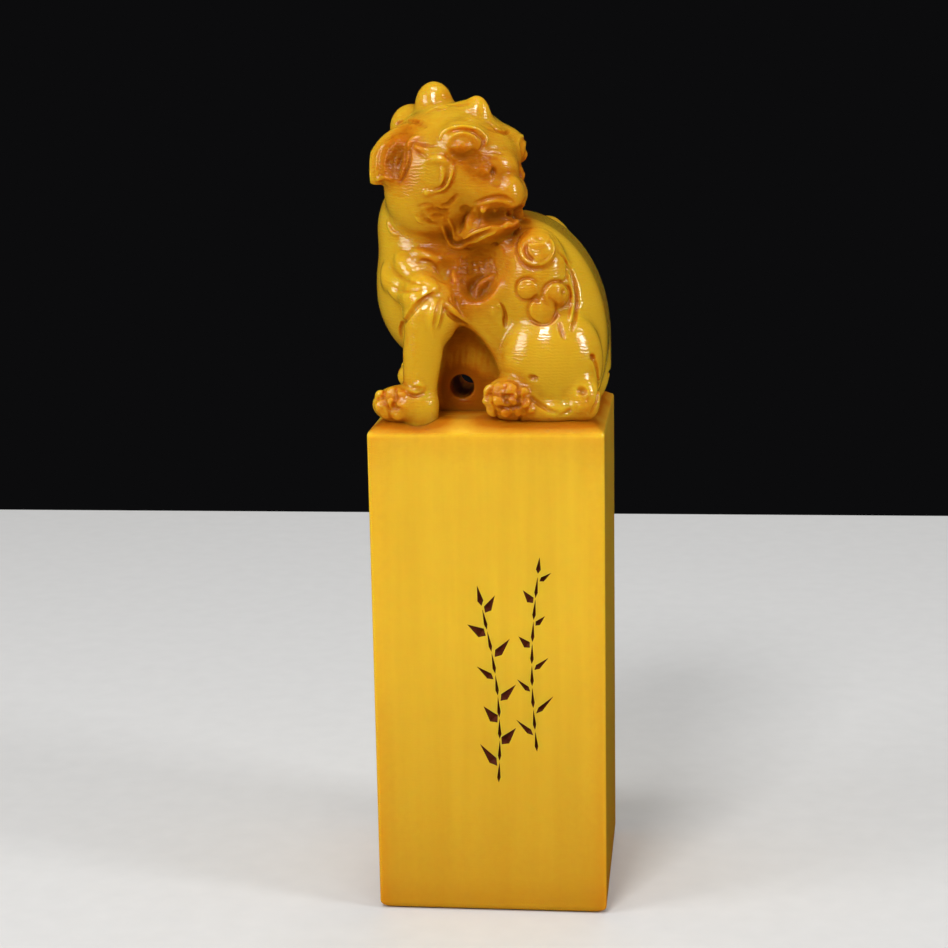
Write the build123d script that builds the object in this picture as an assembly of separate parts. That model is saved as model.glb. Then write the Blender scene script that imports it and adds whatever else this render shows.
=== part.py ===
"""A square stone seal with a crouching guardian beast carved as its grip.

The real seal is one stone. Each solid here is one mass that a carver roughs out of
that stone: the shaft with the printing face, then the trunk, head, legs and curls of
the beast. The masses meet face to face. The larger mass keeps its full form, and the
smaller one is cut to it.

Frame, in millimetres: the origin is the centre of the printing face, Z points up the
shaft, X runs to the right of the front face, and Y runs to the back. The beast's
body looks along -X, so its left side is at the front, and its head is turned back
over that side.
"""
from build123d import *
from build123d.topology import SkipClean
from math import sqrt
import os

# Stone blank
stone_width = 25.0
stone_depth = 25.0
shaft_height = 53.6
carving_height = 36.0
edge_round = 0.35
foot_round = 0.9
pole_turn = (52.0, 0.0, 24.0)

# Ground that the beast crouches on
ground_rise = 1.0
ground_inset = 2.6

# Trunk, an oval in side view with rounded flanks
trunk_length = 20.8
trunk_rise = 13.4
trunk_depth = 17.6
trunk_round = 5.6
trunk_shares = (0.166, 0.02, 0.235)

# Arch recess below the belly, and the cord hole through its back wall
arch_width = 8.6
arch_height = 9.6
arch_wall = 7.6
arch_lean = 8.5
arch_share = -0.12
cord_hole_diameter = 2.6
cord_hole_shares = (-0.25, 0.101)

# Hollow on each side behind the chest, below the jaw
throat_radii = (2.9, 3.2, 3.3)
throat_shares = (-0.06, 0.73, 0.48)

# Chest, neck and tail
chest_radii = (6.6, 7.8, 8.6)
chest_shares = (-0.50, -0.02, 0.395)
neck_radii = (6.6, 6.4, 7.4)
neck_shares = (-0.48, 0.0, 0.555)
tail_radii = (2.2, 2.8, 6.0)
tail_shares = (0.83, 0.40, 0.17)

# Head, turned about Z from +X
head_turn = -33.0
skull_radii = (7.6, 7.0, 6.9)
head_shares = (-0.32, -0.22, 0.745)
cheek_radii = (5.2, 4.2, 4.8)
cheek_shares = (-0.10, 0.42, -0.36)
brow_radii = (1.8, 2.1, 1.2)
brow_shares = (0.58, 0.46, 0.42)
muzzle_radii = (3.5, 3.9, 2.8)
muzzle_shares = (0.72, 0.0, -0.38)
nose_radii = (1.75, 1.95, 1.4)
nose_shares = (0.86, 0.0, 0.06)
nose_lean = 20.0
jaw_radii = (4.6, 3.4, 1.9)
jaw_shares = (0.55, 0.0, -0.86)
jaw_lean = -12.0
eye_radius = 1.5
eye_shares = (0.64, 0.60, 0.33)
ear_radii = (2.0, 1.3, 3.5)
ear_shares = (-0.55, 0.78, 0.22)
ear_lean = 37.0
ear_hollow_share = 0.7

# Three knobs along the top of the head
knob_radii = {
    "front_knob": (1.6, 1.4, 2.6),
    "crown_knob": (2.3, 2.1, 4.0),
    "rear_knob": (2.5, 2.2, 2.6),
}
knob_shares = {
    "front_knob": (0.45, 0.0, 0.75),
    "crown_knob": (-0.31, 0.0, 0.75),
    "rear_knob": (-0.73, 0.0, 0.60),
}

# Legs, each pair mirrored across the body
leg_offset = 9.4
shoulder_radii = (3.0, 2.9, 3.9)
shoulder_shares = (-0.48, 0.0, 0.335)
shoulder_blend_share = 0.75
foreleg_radius = 2.1
ankle_radius = 1.8
foreleg_shares = ((-0.50, 0.0, 0.34), (-0.54, 0.0, 0.22), (-0.57, 0.0, 0.12), (-0.58, 0.0, 0.0))
paw_radii = (3.5, 2.5, 2.1)
paw_shares = (-0.70, 0.0, 0.068)
toe_count = 4
toe_gap = 0.4
toe_length = 1.4
thigh_radii = (5.45, 4.25, 6.15)
thigh_shares = (0.535, 0.0, 0.19)
hind_toes_radii = (3.2, 2.6, 2.4)
hind_toes_shares = (0.22, 0.0, 0.085)
sole_radii = (5.2, 2.0, 1.6)
sole_shares = (0.50, 0.0, 0.055)
heel_radii = (2.0, 1.9, 2.6)
heel_shares = (0.80, 0.0, 0.09)

# Flank curl with one spiral boss and three small ones, placed in shares of its radii
curl_radii = (3.5, 3.2, 6.0)
curl_shares = (0.425, 0.56, 0.415)
spiral_radius = 1.8
boss_radius = 1.2
spiral_shares = (0.0, 0.52)
boss_shares = ((-0.26, -0.15), (0.60, -0.13), (0.20, -0.42))
boss_sink_share = 0.35


def place(x_share, y_share, z_share):
    """A point in shares of the half width, the half depth and the carving's height."""
    return Vector(
        x_share * stone_width / 2,
        y_share * stone_depth / 2,
        shaft_height + z_share * carving_height,
    )


def swelling(centre, radii, turn=(0, 0, 0)):
    """An egg-shaped mass with three radii, in two halves that share a seam."""
    half = Sphere(1, arc_size3=180, align=(Align.NONE, Align.NONE, Align.NONE))
    unit = Rot(*pole_turn) * (half + Rot(0, 0, 180) * half)
    return Location(centre, turn) * scale(unit, by=radii)


def limb(stations):
    """A leg that swells and tapers through round sections, from (point, radius) pairs."""
    return loft([Plane(origin=point) * Circle(radius) for point, radius in stations])


def surface_point(centre, radii, x_share, z_share, side):
    """A point on the outer side of a mass, at shares of its X and Z radii."""
    depth_share = sqrt(1 - x_share**2 - z_share**2)
    return centre + Vector(radii[0] * x_share, side * radii[1] * depth_share, radii[2] * z_share)


def stone_shaft():
    """The square shaft, its softened foot, and the raised ground on its top."""
    shaft = extrude(Rectangle(stone_width, stone_depth), shaft_height)
    shaft = fillet(shaft.edges().filter_by(Axis.Z), edge_round)
    shaft = fillet(shaft.faces().sort_by(Axis.Z)[0].edges(), foot_round)
    top = Plane(origin=(0, 0, shaft_height))
    ground = Plane(origin=(0, 0, shaft_height + ground_rise))
    lower = top * RectangleRounded(stone_width, stone_depth, edge_round)
    upper_width = stone_width - 2 * ground_inset
    upper_depth = stone_depth - 2 * ground_inset
    upper = ground * RectangleRounded(upper_width, upper_depth, ground_inset)
    return shaft + loft([lower, upper])


def trunk():
    """The arched body, recessed below the belly on both sides and holed for a cord."""
    centre = place(*trunk_shares)
    side_view = Plane.XZ.offset(-centre.Y) * Pos(centre.X, centre.Z) * Ellipse(trunk_length / 2, trunk_rise)
    body = extrude(side_view, trunk_depth / 2, both=True)
    rims = body.edges().filter_by(lambda edge: abs(edge.center().Y - centre.Y) > trunk_depth / 4)
    body = fillet(rims, trunk_round)
    arch_x = arch_share * stone_width / 2
    for side in (-1, 1):
        wall = Plane.XZ.offset(-side * arch_wall / 2) * Pos(arch_x, shaft_height)
        outline = wall * Rot(0, 0, arch_lean) * Ellipse(arch_width / 2, arch_height + ground_rise)
        body -= extrude(outline, -side * stone_depth)
    hole = place(cord_hole_shares[0], 0, cord_hole_shares[1])
    bore = Location(hole, (90, 0, 0)) * Cylinder(cord_hole_diameter / 2, stone_depth)
    return body - bore


def throat(side):
    """The hollow that parts the chest from the flank on one side."""
    x_share, y_share, z_share = throat_shares
    return swelling(place(x_share, side * y_share, z_share), throat_radii)


def head_point(forward_share, aside_share, up_share):
    """A point in the turned head's own frame, in shares of the skull's radii."""
    local = Pos(
        skull_radii[0] * forward_share,
        skull_radii[1] * aside_share,
        skull_radii[2] * up_share,
    )
    return (Location(place(*head_shares), (0, 0, head_turn)) * local).position


def head_swelling(shares, radii, lean=0):
    """A mass in the head's frame, leaned back about the head's own cross axis."""
    return swelling(head_point(*shares), radii, (0, lean, head_turn))


def on_side(shares, side):
    """Shares in the head's frame, put on one side of the face."""
    forward_share, aside_share, up_share = shares
    return (forward_share, side * aside_share, up_share)


def skull():
    """The skull with its full cheeks and the brow over each eye."""
    lumps = [head_swelling((0, 0, 0), skull_radii)]
    for side in (-1, 1):
        lumps.append(head_swelling(on_side(cheek_shares, side), cheek_radii))
        lumps.append(head_swelling(on_side(brow_shares, side), brow_radii))
    return lumps


def muzzle():
    """The broad upper lip and the nose on it."""
    return [head_swelling(muzzle_shares, muzzle_radii), head_swelling(nose_shares, nose_radii, nose_lean)]


def eye(side):
    """One round eyeball under its brow."""
    return [head_swelling(on_side(eye_shares, side), (eye_radius, eye_radius, eye_radius))]


def ear(side):
    """A drooping leaf-shaped ear."""
    return [head_swelling(on_side(ear_shares, side), ear_radii, ear_lean)]


def ear_hollow(side):
    """The smaller hollow in an ear's outer face."""
    forward_share, aside_share, up_share = ear_shares
    outer_share = aside_share + ear_radii[1] / skull_radii[1]
    radii = tuple(radius * ear_hollow_share for radius in ear_radii)
    return [head_swelling(on_side((forward_share, outer_share, up_share), side), radii, ear_lean)]


def leg_point(shares, side, inset=0):
    """A point of a leg, on the legs' line along one flank or set in from it."""
    point = place(*shares)
    return Vector(point.X, side * (leg_offset - inset), point.Z)


def foreleg(side):
    """The shoulder and the straight foreleg down to the ground."""
    sizes = (shoulder_radii[1] * shoulder_blend_share, foreleg_radius, ankle_radius, foreleg_radius)
    stations = [(leg_point(shares, side), size) for shares, size in zip(foreleg_shares, sizes)]
    shoulder_point = leg_point(shoulder_shares, side, shoulder_radii[1] / 2)
    return [limb(stations), swelling(shoulder_point, shoulder_radii)]


def toe_gaps(centre, radii):
    """The narrow cuts that part the toes at the front of a foot."""
    gaps = []
    front_x = centre.X - radii[0]
    pitch = 2 * radii[1] / toe_count
    for index in range(1, toe_count):
        across = centre.Y - radii[1] + index * pitch
        gaps.append(Pos(front_x, across, centre.Z) * Box(2 * toe_length, toe_gap, 2 * radii[2]))
    return gaps


def thigh(side):
    """The folded hind leg's broad thigh."""
    return [swelling(leg_point(thigh_shares, side, thigh_radii[1] / 2), thigh_radii)]


def hind_foot(side):
    """The hind foot: toes in front, a long sole and the heel behind."""
    return [
        swelling(leg_point(hind_toes_shares, side), hind_toes_radii),
        swelling(leg_point(sole_shares, side), sole_radii),
        swelling(leg_point(heel_shares, side), heel_radii),
    ]


def flank_curl(side):
    """The raised curl on the flank, with its spiral boss and three small ones."""
    centre = place(curl_shares[0], side * curl_shares[1], curl_shares[2])
    lumps = [swelling(centre, curl_radii)]
    bosses = [(spiral_shares, spiral_radius)] + [(shares, boss_radius) for shares in boss_shares]
    for (x_share, z_share), radius in bosses:
        seat = surface_point(centre, curl_radii, x_share, z_share, side)
        sink = Vector(0, side * radius * boss_sink_share, 0)
        lumps.append(swelling(seat - sink, (radius, radius, radius)))
    return lumps


def boxes_meet(one, other):
    """Whether two bounding boxes reach each other."""
    lows = (max(one.min.X, other.min.X), max(one.min.Y, other.min.Y), max(one.min.Z, other.min.Z))
    highs = (min(one.max.X, other.max.X), min(one.max.Y, other.max.Y), min(one.max.Z, other.max.Z))
    return all(low < high for low, high in zip(lows, highs))


class Stone:
    """The masses roughed out so far, and the whole lumps that they were cut from."""

    def __init__(self):
        self.masses = {}
        self.boxed_lumps = []

    def rough_out(self, name, lumps, hollows=()):
        """Join a mass's lumps, keep it inside the blank, and cut it to the larger masses."""
        boxes = [lump.bounding_box() for lump in lumps]
        form = lumps[0]
        for lump in lumps[1:]:
            form = form + lump
        form = form & extrude(Rectangle(stone_width, stone_depth), shaft_height + carving_height)
        for larger, larger_box in self.boxed_lumps:
            if any(boxes_meet(box, larger_box) for box in boxes):
                form = form - larger
        for hollow in hollows:
            form = form - hollow
        self.masses[name] = form.solids().sort_by(SortBy.VOLUME)[-1]
        self.boxed_lumps += zip(lumps, boxes)


def seal():
    """All the masses of the seal, the largest first."""
    stone = Stone()
    stone.rough_out("seal_shaft", [stone_shaft()])
    throats = [throat(side) for side in (-1, 1)]
    stone.rough_out("trunk", [trunk()], throats)
    stone.rough_out("chest", [swelling(place(*chest_shares), chest_radii)], throats)
    stone.rough_out("neck", [swelling(place(*neck_shares), neck_radii)], throats)
    stone.rough_out("head", skull())
    stone.rough_out("muzzle", muzzle())
    stone.rough_out("lower_jaw", [head_swelling(jaw_shares, jaw_radii, jaw_lean)])
    for name, side in {"left": -1, "right": 1}.items():
        hind_toes = leg_point(hind_toes_shares, side)
        paw = leg_point(paw_shares, side)
        stone.rough_out(f"{name}_thigh", thigh(side))
        stone.rough_out(f"{name}_foreleg", foreleg(side))
        stone.rough_out(f"{name}_hind_foot", hind_foot(side), toe_gaps(hind_toes, hind_toes_radii))
        stone.rough_out(f"{name}_forepaw", [swelling(paw, paw_radii)], toe_gaps(paw, paw_radii))
        stone.rough_out(f"{name}_flank_curl", flank_curl(side))
    for name, side in {"right": -1, "left": 1}.items():
        stone.rough_out(f"{name}_eye", eye(side))
        stone.rough_out(f"{name}_ear", ear(side), ear_hollow(side))
    for name, radii in knob_radii.items():
        stone.rough_out(name, [head_swelling(knob_shares[name], radii)])
    stone.rough_out("tail", [swelling(place(*tail_shares), tail_radii)])
    return stone.masses


if __name__ == "__main__":
    os.makedirs("parts", exist_ok=True)
    with SkipClean():
        masses = seal()
    for name, mass in masses.items():
        export_step(mass, f"parts/{name}.step")
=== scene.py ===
"""Guardian beast seal: the looks of a one-piece carved stone seal.

The shaft and the beast are two meshes that stand for the stone's roughed-out masses.
The beast is worked the way a carver works it: masses first, joined with soft creases,
then hollows, raised locks, knife lines and chisel dents cut into one distance field,
which is meshed at the end. Lengths in the carving are millimetres, Z is up, and the
printing face is at zero.
"""

import itertools
import math

import bmesh
import bpy
import numpy as np
import openvdb
from mathutils import Matrix, Vector


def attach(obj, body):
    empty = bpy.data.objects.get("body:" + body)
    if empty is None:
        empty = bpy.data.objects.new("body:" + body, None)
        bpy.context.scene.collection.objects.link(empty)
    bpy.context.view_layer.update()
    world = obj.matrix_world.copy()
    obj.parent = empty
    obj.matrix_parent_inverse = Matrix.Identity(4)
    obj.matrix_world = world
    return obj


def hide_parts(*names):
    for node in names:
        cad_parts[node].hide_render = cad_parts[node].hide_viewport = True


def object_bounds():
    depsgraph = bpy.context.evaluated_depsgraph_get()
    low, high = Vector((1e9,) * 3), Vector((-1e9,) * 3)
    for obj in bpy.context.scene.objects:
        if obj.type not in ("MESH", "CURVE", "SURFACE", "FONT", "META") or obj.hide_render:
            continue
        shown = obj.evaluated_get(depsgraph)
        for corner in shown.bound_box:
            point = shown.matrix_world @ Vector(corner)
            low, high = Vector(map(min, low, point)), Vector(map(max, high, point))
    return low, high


bl_info = {
    "name": "Guardian Beast Seal",
    "version": (1, 0, 0),
    "blender": (4, 5, 0),
    "location": "3D View > Sidebar > Seal stamp",
    "description": "Builds a carved stone seal with a seated guardian beast",
    "category": "Add Mesh",
}

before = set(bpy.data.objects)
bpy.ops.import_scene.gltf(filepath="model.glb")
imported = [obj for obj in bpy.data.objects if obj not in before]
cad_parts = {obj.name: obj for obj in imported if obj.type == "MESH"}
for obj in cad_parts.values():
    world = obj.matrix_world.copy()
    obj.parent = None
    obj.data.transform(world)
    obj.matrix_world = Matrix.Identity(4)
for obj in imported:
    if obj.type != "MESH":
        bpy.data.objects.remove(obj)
CAD_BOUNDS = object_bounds()
MM = 0.001
TINY = 1e-6
ARC_STEP = 25


def arc(centre, radius, start, stop):
    """Photo pixels along a round stretch, between two angles counted anticlockwise in degrees."""
    steps = round(abs(stop - start) / ARC_STEP)
    turns = [math.radians(start + (stop - start) * step / steps) for step in range(steps + 1)]
    return tuple((centre[0] + radius * math.cos(turn), centre[1] - radius * math.sin(turn)) for turn in turns)


def alike(kind, half_width, depth, paths):
    """Marks of one kind, width and depth along several lines."""
    return ((kind, half_width, depth, path) for path in paths)


# The photograph's camera, its frame in pixels, and the depths in mm where its rays look for the stone
FRAME_PIXELS = 948
CAMERA_PLACE = (22.15, -223.6, 94.03)
CAMERA_YAW = 6.31
CAMERA_DIP = 11.93
CAMERA_ROLL = -1.04
FOCAL_PIXELS = 2066.0
SENSOR_WIDTH = 36.0
NEAREST_CLIP = 0.01
RAY_DEPTHS = (195.0, 250.0, 0.1)

# The square block, from the frame, and the shaft's outline from its foot up to the beast's ground
HALF_WIDTH = round(float(CAD_BOUNDS[1][0]) / MM, 2)
TOP_HEIGHT = round(float(CAD_BOUNDS[1][2]) / MM, 2)
GROUND_HEIGHT = 54.6
EDGE_ROUND = 0.35
MOST_ROUND_SHARE = 0.98
FOOT_ROUND = 0.9
SIDE_SPAN = (4.0, 52.9)
SHOULDER = ((0.0, 53.25), (0.09, 53.5), (0.3, 53.62))
RISE_WIDTH = 2.3
TOP_INSETS = (3.2, 12.4, 0.6)
FOOT_STEPS, SIDE_STEPS, RISE_STEPS = 6, 14, 10
SHARP_ANGLE = 32

# The twigs on the front face: foot and head as (x, z), bow to one side, and leaf length
TWIGS = (
    ((0.9, 15.0), (-0.6, 34.6), 0.8, 3.3),
    ((5.1, 18.6), (5.4, 38.2), -0.6, 2.6),
)
LEAVES_PER_TWIG = 8
LEAF_ANGLE, LEAF_ANGLE_SPREAD = 44, 6
LEAF_LENGTH_SHARES = (0.72, 1.15)
LEAF_WIDTH_SHARE, LEAF_WIDTH_SHARES = 0.29, (0.7, 1.2)
LEAF_SHRINK_SHARE = 0.35
LEAF_GAP, LEAF_START_SHARE = 0.34, 0.35
STEM_WIDTH, STEM_CUT_SHARE = 0.38, 0.94
TIP_GAP, TIP_LENGTH_SHARE, TIP_WIDTH_SHARE = 0.2, 0.7, 0.2

# The block that the beast is carved from: its floor, and its margin round the finished stone
CARVING_FLOOR = 52.9
CARVING_MARGIN = 0.2
BEAST_SOLE = 53.3
SIDE_CLEARANCE = 0.02
TOP_CLEARANCE = 0.04

# Masses of the beast: centre and radii. Those of PAIRED_MASSES stand on both sides.
BODY_MASSES = {
    "chest": ((-6.25, -0.25, 67.8), (6.6, 7.8, 8.6)),
    "neck": ((-6.0, 0.0, 73.6), (6.6, 6.4, 7.4)),
}
PAIRED_MASSES = {
    "shoulder": ((-6.0, 7.95, 65.7), (3.0, 2.9, 3.9)),
    "thigh": ((6.7, 7.3, 60.4), (5.5, 4.2, 6.2)),
    "hind_foot": ((2.75, 9.4, 56.7), (3.2, 2.6, 2.4)),
    "sole": ((6.25, 9.4, 55.6), (5.2, 2.0, 1.6)),
    "heel": ((10.0, 9.4, 56.8), (2.0, 1.9, 2.6)),
    "flank": ((5.3, 7.0, 68.5), (3.5, 3.2, 6.0)),
}
FOREPAW = ((-8.75, 9.4, 56.05), (3.5, 2.5, 2.1))
TAIL = ((10.4, 5.0, 59.7), (2.2, 2.8, 6.0))

# The foreleg from shoulder to wrist, as (x, z) and radius
FORELEG = (((-6.25, 65.8), 2.2), ((-6.75, 61.5), 2.1), ((-7.1, 57.9), 1.8), ((-7.25, 53.6), 2.1))
LEG_OFFSET = 9.4

# The trunk is an oval in side view. The arch below it has a wall in its middle with the cord hole.
TRUNK_CENTRE = (2.08, 0.25, 62.06)
TRUNK_HALF = (10.4, 8.8, 13.4)
TRUNK_ROUND = 5.6
ARCH_CENTRE = (-1.5, 53.6)
ARCH_HALF = (4.3, 10.6)
ARCH_LEAN = 0.15
ARCH_WALL = 5.3
ARCH_ROUND = 1.0
CORD_HOLE = (-3.13, 57.24)
CORD_HOLE_RADIUS = 1.3

# The head, in its own frame of forward, aside and up: centre, radii and lean of each mass
HEAD_CENTRE = (-4.0, -2.75, 80.42)
HEAD_TURN = -33.0
FACE_TILT = 8.0
HEAD_MASSES = {
    "skull": ((0.0, 0.0, 0.0), (7.6, 7.0, 6.9), 0),
    "muzzle": ((5.5, 0.0, -2.6), (3.5, 3.9, 2.8), 0),
    "nose": ((6.4, 0.0, 0.5), (1.9, 2.1, 1.5), 20),
    "lower_jaw": ((4.18, 0.0, -5.93), (4.6, 3.4, 1.9), -12),
    "front_knob": ((3.5, 0.0, 5.05), (1.6, 1.4, 2.6), 0),
    "front_knob_root": ((2.2, 0.0, 5.5), (1.9, 1.5, 1.6), 0),
    "crown_knob_root": ((-2.36, 0.0, 4.95), (2.3, 2.1, 4.0), 0),
    "crown_knob": ((-2.36, 0.0, 7.12), (1.75, 1.6, 1.75), 0),
    "rear_knob": ((-5.55, 0.0, 4.14), (2.5, 2.2, 2.6), 0),
}
PAIRED_HEAD_MASSES = {
    "cheek": ((-0.76, 2.94, -2.48), (5.2, 4.2, 4.8), 0),
    "brow": ((4.3, 3.2, 2.9), (2.2, 2.4, 1.6), 0),
    "brow_ridge": ((4.0, 3.0, 3.7), (2.0, 2.4, 1.6), 0),
    "ear": ((-4.18, 5.5, 1.52), (2.1, 1.3, 3.5), 37),
}

# How far the crease between masses is filled, in mm
CREASES = {
    "trunk": 0.01, "body": 1.0, "tail": 0.6, "limb": 0.7, "paw": 0.5, "arch": 1.0, "hole": 0.3, "head": 0.8,
}

# How a line's width runs along it: its share at the ends, its lean to one end, and its fullness
TAPERS = {"rim": (0.7, 1.0, 0.4), "lock": (0.3, 0.8, 0.8), "cut": (0.4, 1.0, 0.6), "ridge": (0.4, 1.0, 0.6)}
PATH_STEPS = 4
RAISED_SOFT_SHARE = 0.45
CUT_SOFT = 0.1
DAB_SOFT_SHARE = 0.38
DAB_SOFT_LEAST = 0.25
DAB_FACING_STEP = 0.6
DENT_SIZES = (0.7, 1.3)
DENT_SOFT = 0.06

# The far side of the face is marked at this share of the near side's height
FAR_FACE_SHARE = 0.45

# What gathers brown, patina in narrow hollows and painted shade in wide ones: probes in mm for narrow,
# middling and wide hollows, and their shares
NARROW_PROBES, NARROW_SHARE = (0.25, 0.5), 0.42
MIDDLE_PROBES, MIDDLE_SHARE = (1.1, 2.0), 0.55
WIDE_PROBES, WIDE_SHARE = (3.5, 5.5), 0.45
WIDE_START = 0.1
OUTSIDE_RISE = 1.5
CLEAN_SHARE = 0.05
MOST_PATINA_AND_SHADE = 1.4

# Patina rubbed into the hollows, with painted shade in the deep ones such as the throat, the arch and the
# mouth: photo pixel, how far it spreads in mm, and how strong
BODY_PATINA_AND_SHADE = {
    "throat": (((480, 262), 3.4, 0.50), ((478, 292), 2.4, 0.40), ((455, 268), 2.0, 0.25)),
    "arch": (((470, 350), 3.4, 0.45), ((464, 385), 3.0, 0.50), ((470, 312), 1.6, 0.35)),
    "spiral_boss": (((517, 236), 1.5, 0.50), ((536, 248), 2.2, 0.26)),
    "small_bosses": (((543, 300), 2.6, 0.34), ((560, 300), 1.2, 0.30)),
    "hind_toes": (((505, 400), 3.0, 0.55), ((524, 412), 2.2, 0.40)),
    "forepaw": (((392, 403), 2.4, 0.45),),
    "heel": (((590, 405), 1.8, 0.40),),
    "nape": (((402, 232), 1.6, 0.22), ((430, 250), 1.4, 0.22)),
    "chest": (((448, 300), 1.4, 0.30), ((425, 285), 5.0, 0.10)),
    "flank": (((500, 290), 5.0, 0.14), ((522, 268), 2.4, 0.24)),
    "flank_edge": (((560, 262), 1.6, 0.20), ((566, 330), 1.6, 0.20)),
    "belly": (((458, 328), 2.0, 0.35), ((496, 352), 1.6, 0.30)),
    "elbow": (((408, 340), 1.6, 0.25),),
    "thigh": (((594, 360), 1.4, 0.30),),
    "wrist": (((410, 390), 2.0, 0.20),),
}
HEAD_PATINA_AND_SHADE = {
    "mouth": (((497, 214), 2.0, 0.35), ((484, 205), 1.6, 0.25), ((505, 200), 1.5, 0.25)),
    "mouth_corner": (((468, 222), 1.8, 0.28),),
    "jaw_tuft": (((440, 212), 2.0, 0.45),),
    "nose": (((484, 168), 2.1, 0.50),),
    "eye": (((463, 157), 1.8, 0.42), ((456, 150), 1.2, 0.30), ((478, 140), 1.0, 0.25)),
    "ear": (((398, 162), 2.6, 0.60), ((386, 165), 2.4, 0.35)),
    "ear_root": (((396, 142), 2.0, 0.35), ((404, 176), 1.6, 0.40)),
    "cheek": (((450, 160), 9.0, 0.14), ((430, 210), 4.5, 0.16)),
    "muzzle": (((500, 165), 3.5, 0.16),),
    "hairline": (((412, 125), 1.8, 0.40), ((418, 146), 1.4, 0.40)),
    "beard": (((440, 240), 2.2, 0.30),),
    "forehead": (((505, 134), 0.9, 0.35),),
    "cheek_curl": (((452, 190), 1.2, 0.25),),
}

# Painted shade where the beast's foot meets its ground, and in and round the cord hole: strength, and how far
# it spreads in mm
BEAST_FOOT_SHADE, BEAST_FOOT_SPREAD = 0.6, 0.5
HOLE_SHADE, HOLE_SPREAD = 1.5, 0.9
HOLE_SHADE_WITHIN = 6.0

# The shaft's own: painted shade under the beast, and darker at its foot, along its top edge, at its corners
# and on its ground
UNDER_BEAST_SHADE, UNDER_BEAST_SPREAD, UNDER_BEAST_FALL = 0.85, 3.6, 1.3
SHAFT_FOOT_DARKENINGS = ((0.26, 7.0), (0.20, 1.0))
TOP_EDGE_DARKENING, TOP_EDGE_SPREAD = 0.18, 2.0
CORNER_DARKENING, CORNER_SPREAD = 0.22, 1.2
GROUND_DARKENING, GROUND_RISE = 0.28, 0.6
GROUND_STARTS = 53.4
TOP_EDGE_HEIGHT = 53.0
RISE_STARTS = 53.6

# Two finishes of one stone: its light, darker and streak colours, then how much shows of each effect
FINISHES = {
    "carving": {
        "tones": ("#DCB02A", "#CDA220", "#B87E12"),
        "streaks": 0.12, "grime": 0.5, "shine": 0.5, "coat": 0.5, "relief": 0.7},
    "shaft": {
        "tones": ("#EEC63A", "#E6BC34", "#D4A428"),
        "streaks": 0.35, "grime": 0.15, "shine": 0.32, "coat": 0.0, "relief": 0.12},
}

# The stone's patterns in mm, its inner light, its darker foot, its brown of patina and painted shade, and its
# polish
CLOUD_SIZE, STREAK_SIZE, GRIME_SIZE = 6.0, 1.6, 0.7
STREAK_STRETCH = 0.06
RIDGE_PITCH, RIDGE_DEPTH, RIDGE_SHARE = 0.34, 0.03, 0.7
GRAIN_SIZE = 0.35
LIGHT_DEPTH = 2.6
DARKER_FOOT_SHARE, MOST_DARKER_FOOT = 0.6, 0.6
STREAK_RANGE = (0.35, 0.75)
PATINA_AND_SHADE_RANGE = (0.05, 0.85)
DEEP_PATINA_AND_SHADE_RANGE, MOST_DEEP_PATINA_AND_SHADE = (0.75, 1.2), 0.75
POLISHED, DULLED = 0.10, 0.26
DULLED_SHINE = 0.16
REFRACTION = 1.56
LIGHT_SPREAD = (1.0, 0.6, 0.2)
FOOT_TONE = "#C08A1C"
PATINA_AND_SHADE_TONE = "#BC6E0C"
DEEP_PATINA_AND_SHADE_TONE = "#985209"
PIGMENT_TONES = ("#340D02", "#6E2808")

# The stage, in metres: the table's edges, its tones, the light from all round and the backdrop
TABLE_NEAR, TABLE_FAR, TABLE_SIDE = -0.9, 0.181, 0.9
TABLE_TONES = ("#D6D6D6", "#DEDEDE")
AMBIENT_TONE = "#F4F2EE"
BACKDROP_TONE = "#0C0C0D"
LIGHTS_AIM = (0.0, 0.0, 0.06)

# Softboxes: place, size, share of the key power, and whether the polish mirrors them
LIGHTS = {
    "key_softbox": ((-0.10, -0.36, 0.42), (0.14, 0.11), 1.0, True),
    "left_softbox": ((-0.45, -0.22, 0.26), (0.20, 0.24), 0.68, True),
    "right_softbox": ((0.46, -0.16, 0.28), (0.12, 0.17), 0.72, True),
    "top_softbox": ((-0.02, -0.10, 0.52), (0.24, 0.05), 0.35, True),
    "back_softbox": ((0.05, 0.50, 0.40), (0.24, 0.16), 0.5, False),
}

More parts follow.
